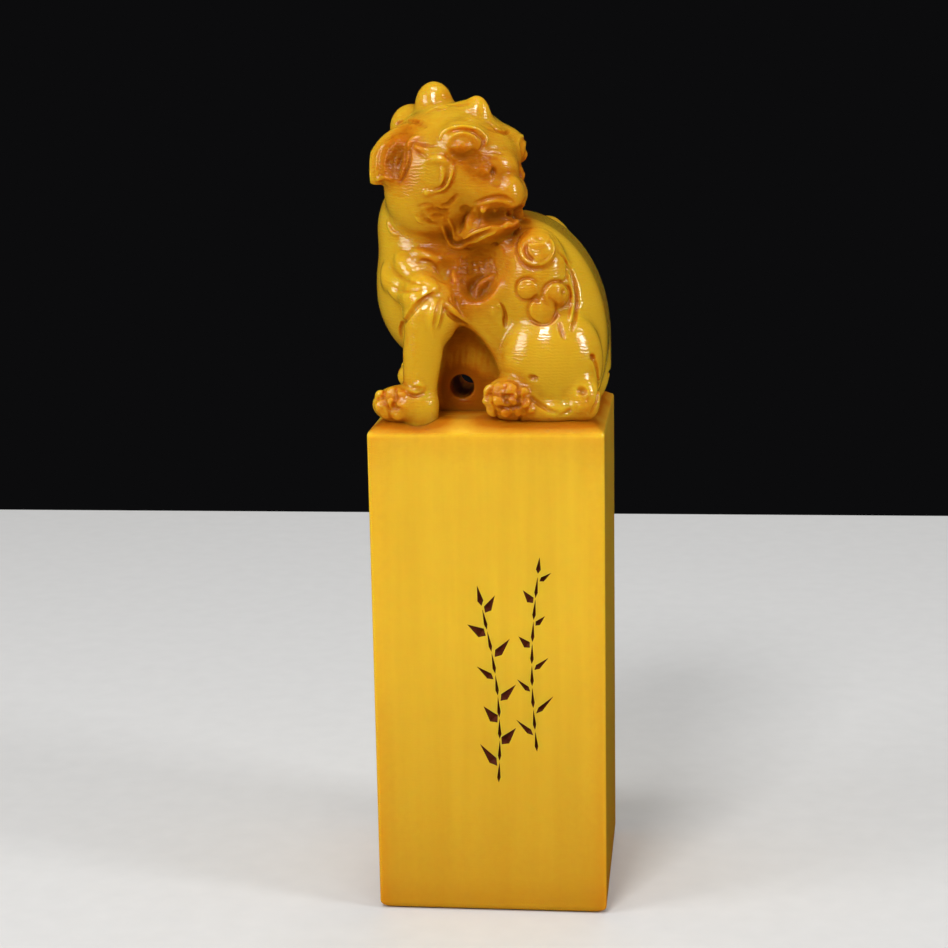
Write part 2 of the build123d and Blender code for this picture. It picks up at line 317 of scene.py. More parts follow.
# Marks on the beast, feature by feature, drawn in photo pixels. A dab is a kind, radii in mm,
# depth in mm, pixel and tilt in degrees. A line is a kind, half width and depth in mm, and pixels.
BODY_WORK = {
    "throat_hollow": (
        ("hollow", (2.9, 3.3, 3.2), 2.3, (479, 264), 0),
        ("hollow", (2, 1.6, 2), 1, (476, 291), 20),
        ("hollow", (1.3, 1.5, 1.3), 0.6, (446, 270), -30),
    ),
    "chest_locks": (
        ("swell", (1.7, 0.8, 0.9), 0.35, (425, 255), -20),
        ("lock", 1.25, 0.62, ((398, 256), (404, 266), (413, 274), (423, 281), (434, 286))),
        ("lock", 1.35, 0.66, ((385, 267), (387, 279), (396, 285), (409, 286), (422, 286), (434, 288))),
        ("lock", 1.1, 0.55, ((391, 292), (402, 297), (414, 296), (425, 292), (434, 289))),
        ("cut", 0.2, 0.18, ((391, 267), (399, 276), (410, 282), (424, 285))),
        ("cut", 0.18, 0.16, ((389, 284), (400, 291), (412, 291), (426, 289))),
    ),
    "shoulder": (
        ("rim", 0.18, 0.16, ((410, 306), (417, 300), (426, 294), (432, 291))),
        ("cut", 0.34, 0.36, ((433, 293), (422, 301), (413, 310), (406, 319), (401, 329), (401, 338))),
        ("cut", 0.28, 0.2, ((417, 262), (426, 261), (434, 266), (440, 275))),
        ("lock", 0.6, 0.34, ((435, 300), (432, 312), (430, 322), (432, 336))),
        ("rim", 0.2, 0.2, ((443, 300), (440, 308), (438, 319), (435, 329))),
        ("cut", 0.18, 0.18, ((439, 301), (436, 312), (434, 322), (433, 331))),
        ("cut", 0.2, 0.22, ((448, 303), (444, 312), (441, 322), (439, 331))),
        *alike("cut", 0.12, 0.14, (
            ((448, 297), (450, 300), (451, 303)),
            ((452, 297), (453, 300), (454, 303)),
            ((456, 297), (457, 300), (458, 303)),
            ((460, 297), (462, 300), (463, 303)),
        )),
    ),
    "elbow_folds": (
        ("lock", 0.45, 0.34, ((446, 303), (453, 311), (459, 316), (466, 321))),
        ("cut", 0.24, 0.26, ((443, 307), (450, 315), (459, 321), (467, 325))),
    ),
    "belly_folds": (
        ("ridge", 0.34, 0.26, ((454, 270), (454, 276), (455, 283))),
        ("lock", 0.6, 0.4, ((476, 297), (479, 288), (485, 282), (492, 277))),
        ("cut", 0.3, 0.24, ((469, 293), (472, 286), (479, 278), (486, 274))),
        *alike("cut", 0.13, 0.09, (
            ((462, 255), (463, 265), (463, 275)),
            ((467, 255), (468, 265), (469, 275)),
            ((472, 255), (473, 265), (474, 275)),
            ((479, 255), (479, 265), (480, 275)),
            ((485, 255), (485, 265), (486, 275)),
            ((490, 255), (490, 265), (491, 275)),
            ((494, 255), (495, 265), (496, 275)),
        )),
        ("cut", 0.26, 0.36, ((501, 303), (504, 312), (505, 319), (505, 327))),
        ("rim", 0.2, 0.22, ((499, 304), (502, 310), (503, 317))),
        ("swell", (0.5, 0.6, 0.4), 0.18, (493, 312), 0),
    ),
    "flank_edge": (
        ("rim", 0.3, 0.3, ((567, 273), (570, 286), (572, 298), (572, 310), (570, 322))),
        ("cut", 0.34, 0.36, ((564, 258), (571, 270), (575, 286), (576, 300), (575, 315), (572, 331))),
        ("cut", 0.2, 0.22, ((553, 248), (562, 255), (567, 267), (566, 279), (557, 284), (549, 285))),
    ),
    "spiral_boss": (
        ("swell", (1.9, 1.9, 1.2), 0.5, (537, 248), 0),
        ("cut", 0.18, 0.2, arc((537, 248), 21, 20, 340)),
        ("rim", 0.2, 0.24, arc((537, 248), 16, 180, 390)),
        ("cut", 0.22, 0.28, arc((536, 249), 10.5, 60, 300)),
        ("ridge", 0.22, 0.2, ((525, 243), (530, 245), (538, 245), (546, 242), (549, 235))),
        ("swell", (0.55, 0.55, 0.5), 0.28, (538, 258), 0),
        ("swell", (0.5, 0.5, 0.45), 0.26, (532, 239), 0),
    ),
    "small_bosses": (
        ("swell", (1.15, 1.15, 0.86), 0.41, (527, 289), 0),
        ("swell", (1.41, 1.41, 1.06), 0.51, (556, 295), 0),
        ("swell", (1.48, 1.48, 1.11), 0.53, (542, 310), 0),
        ("cut", 0.17, 0.22, arc((527, 289), 11.5, 20, 340)),
        ("cut", 0.17, 0.22, arc((556, 295), 14, -70, 230)),
        ("cut", 0.18, 0.24, arc((542, 310), 14.5, 120, 420)),
        *alike("rim", 0.15, 0.14, (
            arc((527, 289), 8, 20, 200),
            arc((556, 295), 9.5, 60, 230),
            arc((542, 310), 10.5, 90, 260),
        )),
        ("hollow", (0.5, 0.35, 0.4), 0.3, (564, 292), 20),
        ("hollow", (0.35, 0.35, 0.3), 0.25, (537, 299), 0),
        ("cut", 0.26, 0.28, ((559, 322), (561, 331), (564, 339))),
    ),
    "hind_leg": (
        ("cut", 0.24, 0.3, ((590, 353), (595, 362), (598, 374), (599, 389), (597, 401), (590, 414))),
        ("cut", 0.26, 0.28, ((531, 397), (538, 403), (549, 410), (559, 413))),
        ("hollow", (0.55, 0.28, 0.5), 0.45, (533, 378), -4),
        ("hollow", (0.55, 0.42, 0.5), 0.5, (582, 391), -20),
        ("hollow", (0.35, 0.3, 0.4), 0.35, (592, 357), 0),
        ("cut", 0.2, 0.24, ((573, 401), (570, 410), (557, 416))),
        ("cut", 0.2, 0.22, ((589, 396), (585, 405), (579, 414))),
        ("swell", (1.1, 0.8, 0.7), 0.25, (580, 407), 0),
    ),
    "hind_toes": (
        ("swell", (0.69, 0.57, 0.5), 0.42, (488, 390), 35),
        ("swell", (0.64, 0.54, 0.44), 0.27, (498, 386), -3),
        ("swell", (0.96, 0.7, 0.62), 0.44, (510, 388), -31),
        ("swell", (0.64, 0.46, 0.48), 0.37, (524, 391), 6),
        ("swell", (0.45, 0.38, 0.4), 0.32, (485, 401), 33),
        ("swell", (0.93, 0.6, 0.64), 0.42, (497, 400), -29),
        ("swell", (0.61, 0.41, 0.44), 0.26, (512, 401), 30),
        ("swell", (0.64, 0.5, 0.53), 0.46, (525, 403), 30),
        ("swell", (0.7, 0.69, 0.56), 0.37, (491, 412), 14),
        ("swell", (0.58, 0.59, 0.48), 0.4, (505, 413), 37),
        ("swell", (0.97, 0.63, 0.64), 0.33, (518, 412), -27),
        ("swell", (0.48, 0.36, 0.4), 0.32, (530, 410), 8),
        ("swell", (0.36, 0.36, 0.32), 0.33, (504, 394), -15),
        ("swell", (0.47, 0.34, 0.32), 0.32, (518, 395), -2),
        *alike("cut", 0.15, 0.24, (
            ((492, 388), (490, 396), (494, 407), (498, 419)),
            ((506, 382), (504, 391), (506, 401), (512, 407), (514, 417)),
            ((518, 386), (519, 396), (518, 407)),
            ((522, 414), (519, 421), (516, 425)),
            ((486, 396), (493, 394), (504, 396), (514, 394)),
            ((494, 407), (504, 408), (512, 407)),
            ((512, 407), (521, 405), (528, 396)),
        )),
    ),
    "forepaw": (
        ("swell", (0.78, 0.5, 0.56), 0.4, (380, 394), -38),
        ("swell", (0.62, 0.52, 0.44), 0.24, (391, 390), 23),
        ("swell", (0.61, 0.52, 0.48), 0.24, (401, 394), -36),
        ("swell", (0.76, 0.79, 0.64), 0.27, (379, 407), 20),
        ("swell", (0.59, 0.49, 0.4), 0.3, (391, 401), -12),
        ("swell", (0.76, 0.67, 0.58), 0.26, (402, 407), 20),
        ("swell", (0.71, 0.59, 0.5), 0.25, (386, 415), 36),
        ("swell", (0.65, 0.56, 0.56), 0.34, (398, 416), 33),
        *alike("cut", 0.14, 0.2, (
            ((385, 388), (384, 398), (388, 408), (391, 419)),
            ((396, 388), (396, 398), (394, 407), (398, 410)),
            ((375, 400), (384, 398), (394, 396)),
            ((388, 409), (396, 408), (407, 410)),
        )),
        ("ridge", 0.28, 0.24, ((407, 389), (414, 391), (420, 394))),
        ("ridge", 0.26, 0.24, ((414, 385), (419, 384), (424, 386))),
        ("cut", 0.2, 0.24, ((406, 393), (414, 396), (422, 394), (425, 388))),
    ),
    "arch_wall": (
        *alike("cut", 0.12, 0.08, (
            ((454, 352), (453, 356), (452, 370)),
            ((460, 349), (459, 356), (458, 370)),
            ((466, 346), (465, 356), (464, 370)),
            ((472, 343), (471, 356), (470, 370)),
            ((479, 346), (477, 356), (476, 370)),
            ((485, 349), (484, 356), (482, 370)),
            ((491, 352), (490, 356), (488, 370)),
        )),
    ),
}
HEAD_WORK = {
    "eye": (
        ("hollow", (2.5, 1.9, 1.2), 0.5, (463, 145), 4),
        ("rim", 0.22, 0.3, ((440, 140), (443, 134), (448, 130), (455, 128), (463, 127), (470, 128),
            (478, 130), (483, 135), (486, 139), (485, 144))),
        ("cut", 0.22, 0.24, ((447, 134), (454, 131), (464, 130), (473, 132), (479, 136), (483, 141),
            (482, 147), (478, 151))),
        ("swell", (1.05, 0.9, 1), 0.66, (462, 147), 0),
        ("cut", 0.1, 0.11, arc((462, 146), 5, 200, 500)),
        ("hollow", (0.2, 0.2, 0.2), 0.1, (462, 146), 0),
        ("rim", 0.16, 0.16, ((450, 138), (457, 134), (464, 133), (471, 135), (477, 139))),
        ("ridge", 0.26, 0.14, ((446, 147), (449, 154), (457, 160), (466, 161), (474, 158))),
    ),
    "nose_wrinkles": (
        *alike("cut", 0.13, 0.12, (
            ((485, 148), (498, 149), (508, 150)),
            ((489, 152), (499, 154), (507, 154)),
            ((483, 157), (492, 158), (499, 159)),
        )),
    ),
    "nostril": (
        ("swell", (1.35, 1, 0.9), 0.42, (483, 171), -10),
        ("rim", 0.15, 0.14, ((473, 176), (480, 180), (485, 182), (490, 181), (492, 175))),
        ("hollow", (0.26, 0.34, 0.4), 0.36, (493, 172), 0),
        ("cut", 0.13, 0.18, ((492, 167), (494, 170), (494, 175))),
        ("cut", 0.18, 0.16, ((490, 184), (496, 186), (505, 185))),
    ),
    "lips": (
        ("swell", (2.3, 1.5, 1.3), 0.3, (474, 189), -18),
        ("swell", (1.3, 1.9, 1.2), 0.3, (519, 194), 0),
        ("hollow", (2.7, 0.95, 1.6), 0.85, (499, 217), 2),
        ("cut", 0.3, 1.1, ((485, 216), (494, 215), (501, 214), (509, 213))),
        ("cut", 0.2, 0.22, ((474, 203), (481, 200), (491, 197), (501, 196), (511, 200), (515, 204))),
        ("rim", 0.2, 0.18, ((478, 205), (489, 202), (499, 201), (509, 204))),
        ("swell", (0.31, 0.31, 0.26), 0.28, (511, 212), 0),
        ("swell", (0.34, 0.34, 0.28), 0.28, (516, 213), 0),
        ("swell", (0.34, 0.34, 0.28), 0.28, (518, 217), 0),
        ("swell", (0.34, 0.34, 0.28), 0.28, (517, 222), 0),
        ("swell", (0.31, 0.31, 0.26), 0.28, (513, 225), 0),
        ("swell", (0.29, 0.29, 0.24), 0.28, (508, 223), 0),
    ),
    "mouth_corner": (
        ("cut", 0.22, 0.28, ((474, 207), (468, 213), (464, 221), (461, 228), (459, 233))),
        ("cut", 0.15, 0.16, ((477, 208), (480, 216), (479, 224), (475, 231))),
        ("swell", (0.66, 1.25, 0.8), 0.42, (470, 221), -14),
    ),
    "beard_band": (
        ("rim", 0.22, 0.3, ((442, 226), (445, 234), (448, 241), (451, 246), (457, 248), (462, 247),
            (469, 242), (477, 240), (485, 236), (495, 232))),
        ("rim", 0.2, 0.26, ((448, 219), (452, 226), (454, 232), (455, 239))),
        ("rim", 0.22, 0.28, ((464, 238), (473, 233), (481, 230), (490, 227))),
        ("cut", 0.2, 0.22, ((458, 243), (468, 239), (477, 235), (491, 230))),
        ("cut", 0.2, 0.2, ((446, 226), (449, 234), (452, 241))),
        ("swell", (0.35, 0.3, 0.3), 0.2, (457, 239), 0),
    ),
    "cheek_curl": (
        ("lock", 0.5, 0.36, ((447, 163), (441, 159), (433, 159), (426, 160))),
        ("rim", 0.17, 0.2, ((442, 167), (443, 175), (442, 181), (440, 186))),
        ("rim", 0.18, 0.22, ((452, 165), (452, 174), (449, 182), (445, 188), (438, 191), (432, 193),
            (425, 192))),
        ("cut", 0.18, 0.22, ((447, 166), (447, 175), (445, 182), (441, 187), (434, 189))),
        ("cut", 0.16, 0.16, ((454, 163), (456, 168), (454, 177), (451, 184), (445, 191), (436, 194),
            (426, 194))),
        ("swell", (0.3, 0.3, 0.3), 0.2, (426, 193), 0),
    ),
    "jaw_tuft": (
        ("cut", 0.22, 0.24, ((441, 205), (448, 204), (453, 199), (458, 194))),
        ("cut", 0.18, 0.2, ((422, 215), (430, 222), (439, 225))),
        *alike("cut", 0.18, 0.18, (
            ((417, 207), (426, 204), (434, 205)),
            ((427, 211), (435, 209), (444, 211), (450, 208)),
            ((431, 217), (438, 215), (447, 217)),
        )),
        ("ridge", 0.28, 0.2, ((416, 216), (419, 220), (423, 223))),
        ("hollow", (0.5, 0.5, 0.4), 0.3, (465, 209), 20),
    ),
    "forehead": (
        ("cut", 0.24, 0.3, ((494, 128), (499, 131), (505, 133), (510, 130))),
        ("cut", 0.14, 0.14, ((485, 123), (490, 124), (495, 128))),
        ("cut", 0.14, 0.12, ((496, 125), (501, 128), (507, 128))),
    ),
    "ear": (
        ("swell", (1.9, 2.8, 1.1), 0.55, (394, 160), -24),
        ("hollow", (1.25, 2.1, 0.8), 0.55, (396, 160), -24),
        ("rim", 0.24, 0.12, ((393, 140), (386, 143), (379, 151), (377, 161), (377, 173), (379, 181))),
        ("rim", 0.26, 0.26, ((377, 180), (385, 177), (392, 179))),
        ("cut", 0.13, 0.13, ((390, 148), (388, 160), (387, 171))),
        ("rim", 0.14, 0.14, ((399, 153), (397, 161), (396, 168))),
        ("cut", 0.16, 0.18, ((402, 153), (400, 164), (398, 177))),
        ("rim", 0.15, 0.14, ((405, 153), (404, 166), (401, 179))),
        ("cut", 0.2, 0.24, ((410, 148), (409, 161), (405, 174), (400, 183))),
        ("lock", 0.48, 0.34, ((409, 147), (412, 141), (418, 136))),
        ("lock", 0.34, 0.22, ((415, 146), (420, 148), (427, 151))),
        ("cut", 0.16, 0.18, ((416, 144), (427, 146), (438, 146))),
        ("cut", 0.16, 0.18, ((416, 151), (422, 155), (430, 160))),
    ),
    "hairline": (
        ("cut", 0.26, 0.22, ((426, 114), (435, 109), (443, 109), (448, 107))),
        ("cut", 0.22, 0.18, ((448, 105), (459, 105), (469, 105))),
        ("cut", 0.26, 0.2, ((396, 125), (405, 121), (416, 122), (425, 127))),
        ("ridge", 0.3, 0.26, ((388, 221), (390, 228), (394, 233), (399, 235))),
    ),
}

# Patches of chisel dents: middle and half sizes in photo pixels, count, radius and depth in mm
BODY_DENTS = (
    ((478, 272), (20, 18), 90, 0.2, 0.1),
    ((509, 398), (24, 18), 150, 0.17, 0.12),
    ((391, 403), (16, 16), 110, 0.17, 0.11),
    ((452, 301), (14, 6), 40, 0.14, 0.08),
    ((582, 407), (8, 10), 30, 0.16, 0.09),
)
HEAD_DENTS = (
    ((463, 156), (17, 8), 90, 0.15, 0.11),
    ((481, 169), (12, 9), 70, 0.15, 0.1),
    ((435, 215), (14, 9), 80, 0.16, 0.1),
    ((395, 153), (9, 14), 60, 0.15, 0.09),
    ((412, 125), (15, 6), 60, 0.17, 0.1),
    ((499, 207), (16, 5), 50, 0.15, 0.08),
)


def camera_axes():
    """The camera's right, up and forward directions."""
    yaw, dip, roll = (math.radians(a) for a in (CAMERA_YAW, CAMERA_DIP, CAMERA_ROLL))
    forward = np.array([-math.sin(yaw) * math.cos(dip), math.cos(yaw) * math.cos(dip), -math.sin(dip)])
    level = np.array([math.cos(yaw), math.sin(yaw), 0.0])
    upright = np.cross(level, forward)
    right = math.cos(roll) * level + math.sin(roll) * upright
    up = -math.sin(roll) * level + math.cos(roll) * upright
    return right, up, forward


def smooth_min(a, b, soft):
    """The nearer of two distances, with a soft crease where they meet."""
    gap = np.maximum(soft - np.abs(a - b), 0.0) / soft
    return np.minimum(a, b) - gap * gap * (soft * 0.25)


def egg(grid, centre, radii, axes=None):
    """Distance to an egg; axes holds its own directions as rows."""
    x, y, z = (g - c for g, c in zip(grid, centre))
    if axes is not None:
        x, y, z = (x * row[0] + y * row[1] + z * row[2] for row in axes)
    near = np.sqrt((x / radii[0]) ** 2 + (y / radii[1]) ** 2 + (z / radii[2]) ** 2)
    far = np.sqrt((x / radii[0] ** 2) ** 2 + (y / radii[1] ** 2) ** 2 + (z / radii[2] ** 2) ** 2)
    return near * (near - 1.0) / np.maximum(far, TINY)


def oval(x, z, centre, half):
    """Distance to an upright oval in side view."""
    x, z = x - centre[0], z - centre[1]
    near = np.sqrt((x / half[0]) ** 2 + (z / half[1]) ** 2)
    far = np.sqrt((x / half[0] ** 2) ** 2 + (z / half[1] ** 2) ** 2)
    return near * (near - 1.0) / np.maximum(far, TINY)


def rounded_both(a, b, radius):
    """Where two shapes overlap, with the rim between them rounded."""
    a, b = a + radius, b + radius
    outside = np.sqrt(np.maximum(a, 0.0) ** 2 + np.maximum(b, 0.0) ** 2)
    return outside + np.minimum(np.maximum(a, b), 0.0) - radius


class Carving:
    """A block of distances, in millimetres: negative inside the stone."""

    FAR = 6.0
    JOIN_REACH = 5.0
    CARVE_REACH = 1.5
    LARGE_RADIUS = 3.0
    EGG_MARGIN = 0.6
    HOLLOW_MARGIN = 0.3
    SLOPE_STEP = 0.3
    SETTLING_STEPS = 4

    def __init__(self, low, high, cell):
        self.cell = cell
        self.axes = [np.arange(a, b + cell, cell, dtype=np.float32) for a, b in zip(low, high)]
        self.low = np.array([axis[0] for axis in self.axes])
        self.high = np.array([axis[-1] for axis in self.axes])
        self.field = np.full([len(axis) for axis in self.axes], self.FAR, np.float32)

    def window(self, low, high):
        """The part of the block between two corners, and its coordinates."""
        spans = []
        for axis, a, b in zip(self.axes, low, high):
            start = max(0, int((a - axis[0]) / self.cell))
            stop = max(start + 1, min(len(axis), int((b - axis[0]) / self.cell) + 2))
            spans.append(slice(start, stop))
        return tuple(spans), np.ix_(*[axis[span] for axis, span in zip(self.axes, spans)])

    def join(self, shape, low, high, soft, reach=JOIN_REACH):
        """Add a shape that lies between two corners."""
        low, high = np.array(low) - reach, np.array(high) + reach
        spans, grid = self.window(low, high)
        self.field[spans] = smooth_min(self.field[spans], shape(grid), soft)

    def carve(self, shape, low, high, soft, reach=CARVE_REACH):
        """Take away a shape that lies between two corners."""
        low, high = np.array(low) - reach, np.array(high) + reach
        spans, grid = self.window(low, high)
        self.field[spans] = -smooth_min(-self.field[spans], shape(grid), soft)

    def join_egg(self, centre, radii, soft, axes=None):
        size = max(radii) if axes is not None else np.array(radii)
        centre = np.array(centre)
        reach = self.JOIN_REACH if np.max(radii) > self.LARGE_RADIUS else self.EGG_MARGIN + np.max(radii)
        self.join(lambda g: egg(g, centre, radii, axes), centre - size, centre + size, soft, reach)

    def carve_egg(self, centre, radii, soft, axes=None):
        size = max(radii) if axes is not None else np.array(radii)
        centre = np.array(centre)
        reach = min(self.CARVE_REACH, 2 * soft + self.HOLLOW_MARGIN)
        self.carve(lambda g: egg(g, centre, radii, axes), centre - size, centre + size, soft, reach)

    def stroke(self, points, radii, soft, raised):
        """A tapered tube along points, joined on or carved away."""
        reach = max(radii) + soft + 4 * self.cell
        spans, _ = self.window(points.min(axis=0) - reach, points.max(axis=0) + reach)
        near = np.full(self.field[spans].shape, self.FAR, np.float32)
        offset = [span.start for span in spans]
        for p, q, rp, rq in zip(points[:-1], points[1:], radii[:-1], radii[1:]):
            part, local = self.window(np.minimum(p, q) - reach, np.maximum(p, q) + reach)
            inner = tuple(slice(s.start - o, s.stop - o) for s, o in zip(part, offset))
            run = q - p
            length = max(float(run @ run), 1e-9)
            dx, dy, dz = (g - c for g, c in zip(local, p))
            along = np.clip((dx * run[0] + dy * run[1] + dz * run[2]) / length, 0.0, 1.0)
            away = (dx - along * run[0]) ** 2 + (dy - along * run[1]) ** 2 + (dz - along * run[2]) ** 2
            near[inner] = np.minimum(near[inner], np.sqrt(away) - (rp + (rq - rp) * along))
        if raised:
            self.field[spans] = smooth_min(self.field[spans], near, soft)
        else:
            self.field[spans] = -smooth_min(-self.field[spans], near, soft)

    def sample(self, points):
        """Distances at points, between the cells' own values."""
        shape = np.array(self.field.shape)
        q = np.clip((points - self.low) / self.cell, 0, shape - 1.001)
        i = q.astype(int)
        f = q - i
        total = 0.0
        for corner in np.ndindex(2, 2, 2):
            weight = np.prod([f[..., k] if corner[k] else 1 - f[..., k] for k in range(3)], axis=0)
            near = tuple(i[..., k] + corner[k] for k in range(3))
            total = total + weight * self.field[near]
        return total

    def normal(self, points, step=SLOPE_STEP):
        """The way out of the stone at points."""
        steps = np.eye(3) * step
        slope = np.stack([self.sample(points + d) - self.sample(points - d) for d in steps], axis=-1)
        return slope / np.maximum(np.linalg.norm(slope, axis=-1, keepdims=True), TINY)

    def settle(self, points):
        """Points moved onto the surface."""
        for _ in range(self.SETTLING_STEPS):
            points = points - self.normal(points) * self.sample(points)[..., None]
        return points

    def strike(self, pixels):
        """Where the camera's rays through pixels first meet the stone."""
        pixels = np.asarray(pixels, float)
        right, up, forward = camera_axes()
        aim = forward + np.outer((pixels[:, 0] - FRAME_PIXELS / 2) / FOCAL_PIXELS, right)
        aim -= np.outer((pixels[:, 1] - FRAME_PIXELS / 2) / FOCAL_PIXELS, up)
        depths = np.arange(*RAY_DEPTHS)
        origin = np.array(CAMERA_PLACE)
        rays = origin + aim[:, None, :] * depths[None, :, None]
        values = self.sample(rays)
        hit = values <= 0
        first = np.where(hit.any(axis=1), hit.argmax(axis=1), values.argmin(axis=1))
        return self.settle(rays[np.arange(len(rays)), first])

    def soften(self):
        """Take the steps out of the block's creases."""
        for axis in range(3):
            ahead = np.roll(self.field, 1, axis)
            behind = np.roll(self.field, -1, axis)
            self.field = 0.5 * self.field + 0.25 * (ahead + behind)

    def keep_within(self, half, low, high):
        """Cut the block square at its sides, its sole and its top."""
        x, y, z = np.ix_(*self.axes)
        box = np.maximum(np.maximum(np.abs(x), np.abs(y)) - half, np.maximum(low - z, z - high))
        self.field = np.maximum(self.field, box)


def smooth_path(points, steps):
    """A smooth curve through points, with a number of steps between each two."""
    points = np.asarray(points, float)
    ends = np.vstack([2 * points[0] - points[1], points, 2 * points[-1] - points[-2]])
    path = []
    for a, b, c, d in zip(ends[:-3], ends[1:-2], ends[2:-1], ends[3:]):
        for t in np.arange(steps) / steps:
            bend = (2 * a - 5 * b + 4 * c - d) * t**2 + (3 * b - a - 3 * c + d) * t**3
            path.append(0.5 * (2 * b + (c - a) * t + bend))
    path.append(points[-1])
    return np.array(path)


def mirrored(points, centre, direction):
    """Points reflected in a plane."""
    away = (points - centre) @ direction
    return points - 2 * away[:, None] * direction


def taper(kind, count):
    """How a stroke's width runs from its start to its end."""
    share = np.linspace(0.0, 1.0, count)
    least, lean, fullness = TAPERS[kind]
    return least + (1.0 - least) * np.sin(np.pi * share**lean) ** fullness


def dab(stone, kind, size, depth, pixel, tilt, mirror):
    """Press a small egg in or out of the stone at a point, facing the surface, and at its mirror image."""
    point = stone.strike([pixel])
    out = stone.normal(point, DAB_FACING_STEP)[0]
    right = camera_axes()[0]
    across = right - out * (right @ out)
    across /= np.linalg.norm(across)
    along = np.cross(out, across)
    c, s = math.cos(math.radians(tilt)), math.sin(math.radians(tilt))
    axes = np.array([c * across + s * along, c * along - s * across, out])
    soft = max(DAB_SOFT_LEAST, DAB_SOFT_SHARE * min(size))
    for flip in (False, True):
        if flip:
            centre, direction = mirror
            point = stone.settle(mirrored(point, centre, direction))
            axes = axes - 2 * np.outer(axes @ direction, direction)
        if kind == "swell":
            stone.join_egg(point[0] + axes[2] * (depth - size[2]), size, soft, axes)
        else:
            stone.carve_egg(point[0] + axes[2] * (size[2] - depth), size, soft, axes)


def line(stone, kind, radius, depth, pixels, mirror, far_share):
    """Raise or cut a line drawn on the stone, and its mirror image at a share of its height."""
    path = stone.strike(smooth_path(pixels, PATH_STEPS))
    width = radius * taper(kind, len(path))
    raised = kind != "cut"
    rise = depth * (width / radius)
    soft = RAISED_SOFT_SHARE * radius if raised else CUT_SOFT
    for points, share in ((path, 1.0), (stone.settle(mirrored(path, *mirror)), far_share)):
        lift = (rise * share - width) if raised else (width - rise * share)
        stone.stroke(points + stone.normal(points) * lift[:, None], width, soft, raised)


def work(stone, marks, mirror, far_share=1.0):
    """Make the marks of each feature in turn: each mark is a dab or a line."""
    for mark in itertools.chain(*marks.values()):
        if isinstance(mark[1], tuple):
            dab(stone, *mark, mirror)
        else:
            line(stone, *mark, mirror, far_share)


def stipple(stone, patches, mirror, rng):
    """Small chisel dents, scattered over patches."""
    for (u, v), (half_u, half_v), count, radius, depth in patches:
        spread = rng.uniform(-1.0, 1.0, (2 * count, 2))
        spread = spread[np.hypot(*spread.T) < 1.0]
        points = stone.strike(np.array([u, v]) + spread * (half_u, half_v))
        for spots in (points, stone.settle(mirrored(points, *mirror))):
            for spot, out in zip(spots, stone.normal(spots)):
                size = radius * rng.uniform(*DENT_SIZES)
                stone.carve_egg(spot + out * (size - depth), (size, size, size), DENT_SOFT)


def rough_body(stone):
    """The trunk, chest, neck, tail, flanks and legs, with the arch and the cord hole."""
    cx, cy, cz = TRUNK_CENTRE
    hx, hy, hz = TRUNK_HALF

    def trunk(grid):
        x, y, z = grid
        return rounded_both(oval(x, z, (cx, cz), (hx, hz)), np.abs(y - cy) - hy, TRUNK_ROUND)

    centre, half = np.array(TRUNK_CENTRE), np.array(TRUNK_HALF)
    stone.join(trunk, centre - half, centre + half, CREASES["trunk"])
    for place, radii in BODY_MASSES.values():
        stone.join_egg(place, radii, CREASES["body"])
    stone.join_egg(*TAIL, CREASES["tail"])
    arch_x, arch_z = ARCH_CENTRE
    arch_wide, arch_high = ARCH_HALF

    def arch(grid):
        x, y, z = grid
        x = x + ARCH_LEAN * (z - arch_z)
        return rounded_both(oval(x, z, ARCH_CENTRE, ARCH_HALF), ARCH_WALL - np.abs(y), ARCH_ROUND)

    low = (arch_x - arch_wide, -HALF_WIDTH, arch_z)
    high = (arch_x + arch_wide, HALF_WIDTH, arch_z + arch_high)
    stone.carve(arch, low, high, CREASES["arch"])
    for side in (-1, 1):
        for (x, y, z), radii in PAIRED_MASSES.values():
            stone.join_egg((x, side * y, z), radii, CREASES["limb"])
        path = np.array([(x, side * LEG_OFFSET, z) for (x, z), _ in FORELEG])
        stone.stroke(path, [radius for _, radius in FORELEG], CREASES["limb"], True)
        (x, y, z), radii = FOREPAW
        stone.join_egg((x, side * y, z), radii, CREASES["paw"])
    hole_x, hole_z = CORD_HOLE

    def hole(grid):
        x, y, z = grid
        return np.sqrt((x - hole_x) ** 2 + (z - hole_z) ** 2) - CORD_HOLE_RADIUS + 0 * y

    low = (hole_x - CORD_HOLE_RADIUS, -HALF_WIDTH, hole_z - CORD_HOLE_RADIUS)
    high = (hole_x + CORD_HOLE_RADIUS, HALF_WIDTH, hole_z + CORD_HOLE_RADIUS)
    stone.carve(hole, low, high, CREASES["hole"])


def turned_axes(lean, turn):
    """Rows of the head's own directions, leaned about the world's Y axis."""
    matrix = Matrix.Rotation(math.radians(lean), 3, "Y") @ Matrix.Rotation(math.radians(turn), 3, "Z")
    return np.array(matrix.transposed())


def head_place(local):
    """A place in the head's own frame, on the beast."""
    c, s = math.cos(math.radians(HEAD_TURN)), math.sin(math.radians(HEAD_TURN))
    x, y, z = local
    return np.array([HEAD_CENTRE[0] + c * x - s * y, HEAD_CENTRE[1] + s * x + c * y, HEAD_CENTRE[2] + z])


def face_plane():
    """The middle plane of the face: a point on it and its direction, tilted as the head is."""
    turn, tilt = math.radians(HEAD_TURN), math.radians(FACE_TILT)
    aside = np.array([-math.sin(turn) * math.cos(tilt), math.cos(turn) * math.cos(tilt), -math.sin(tilt)])
    return np.array(HEAD_CENTRE), aside


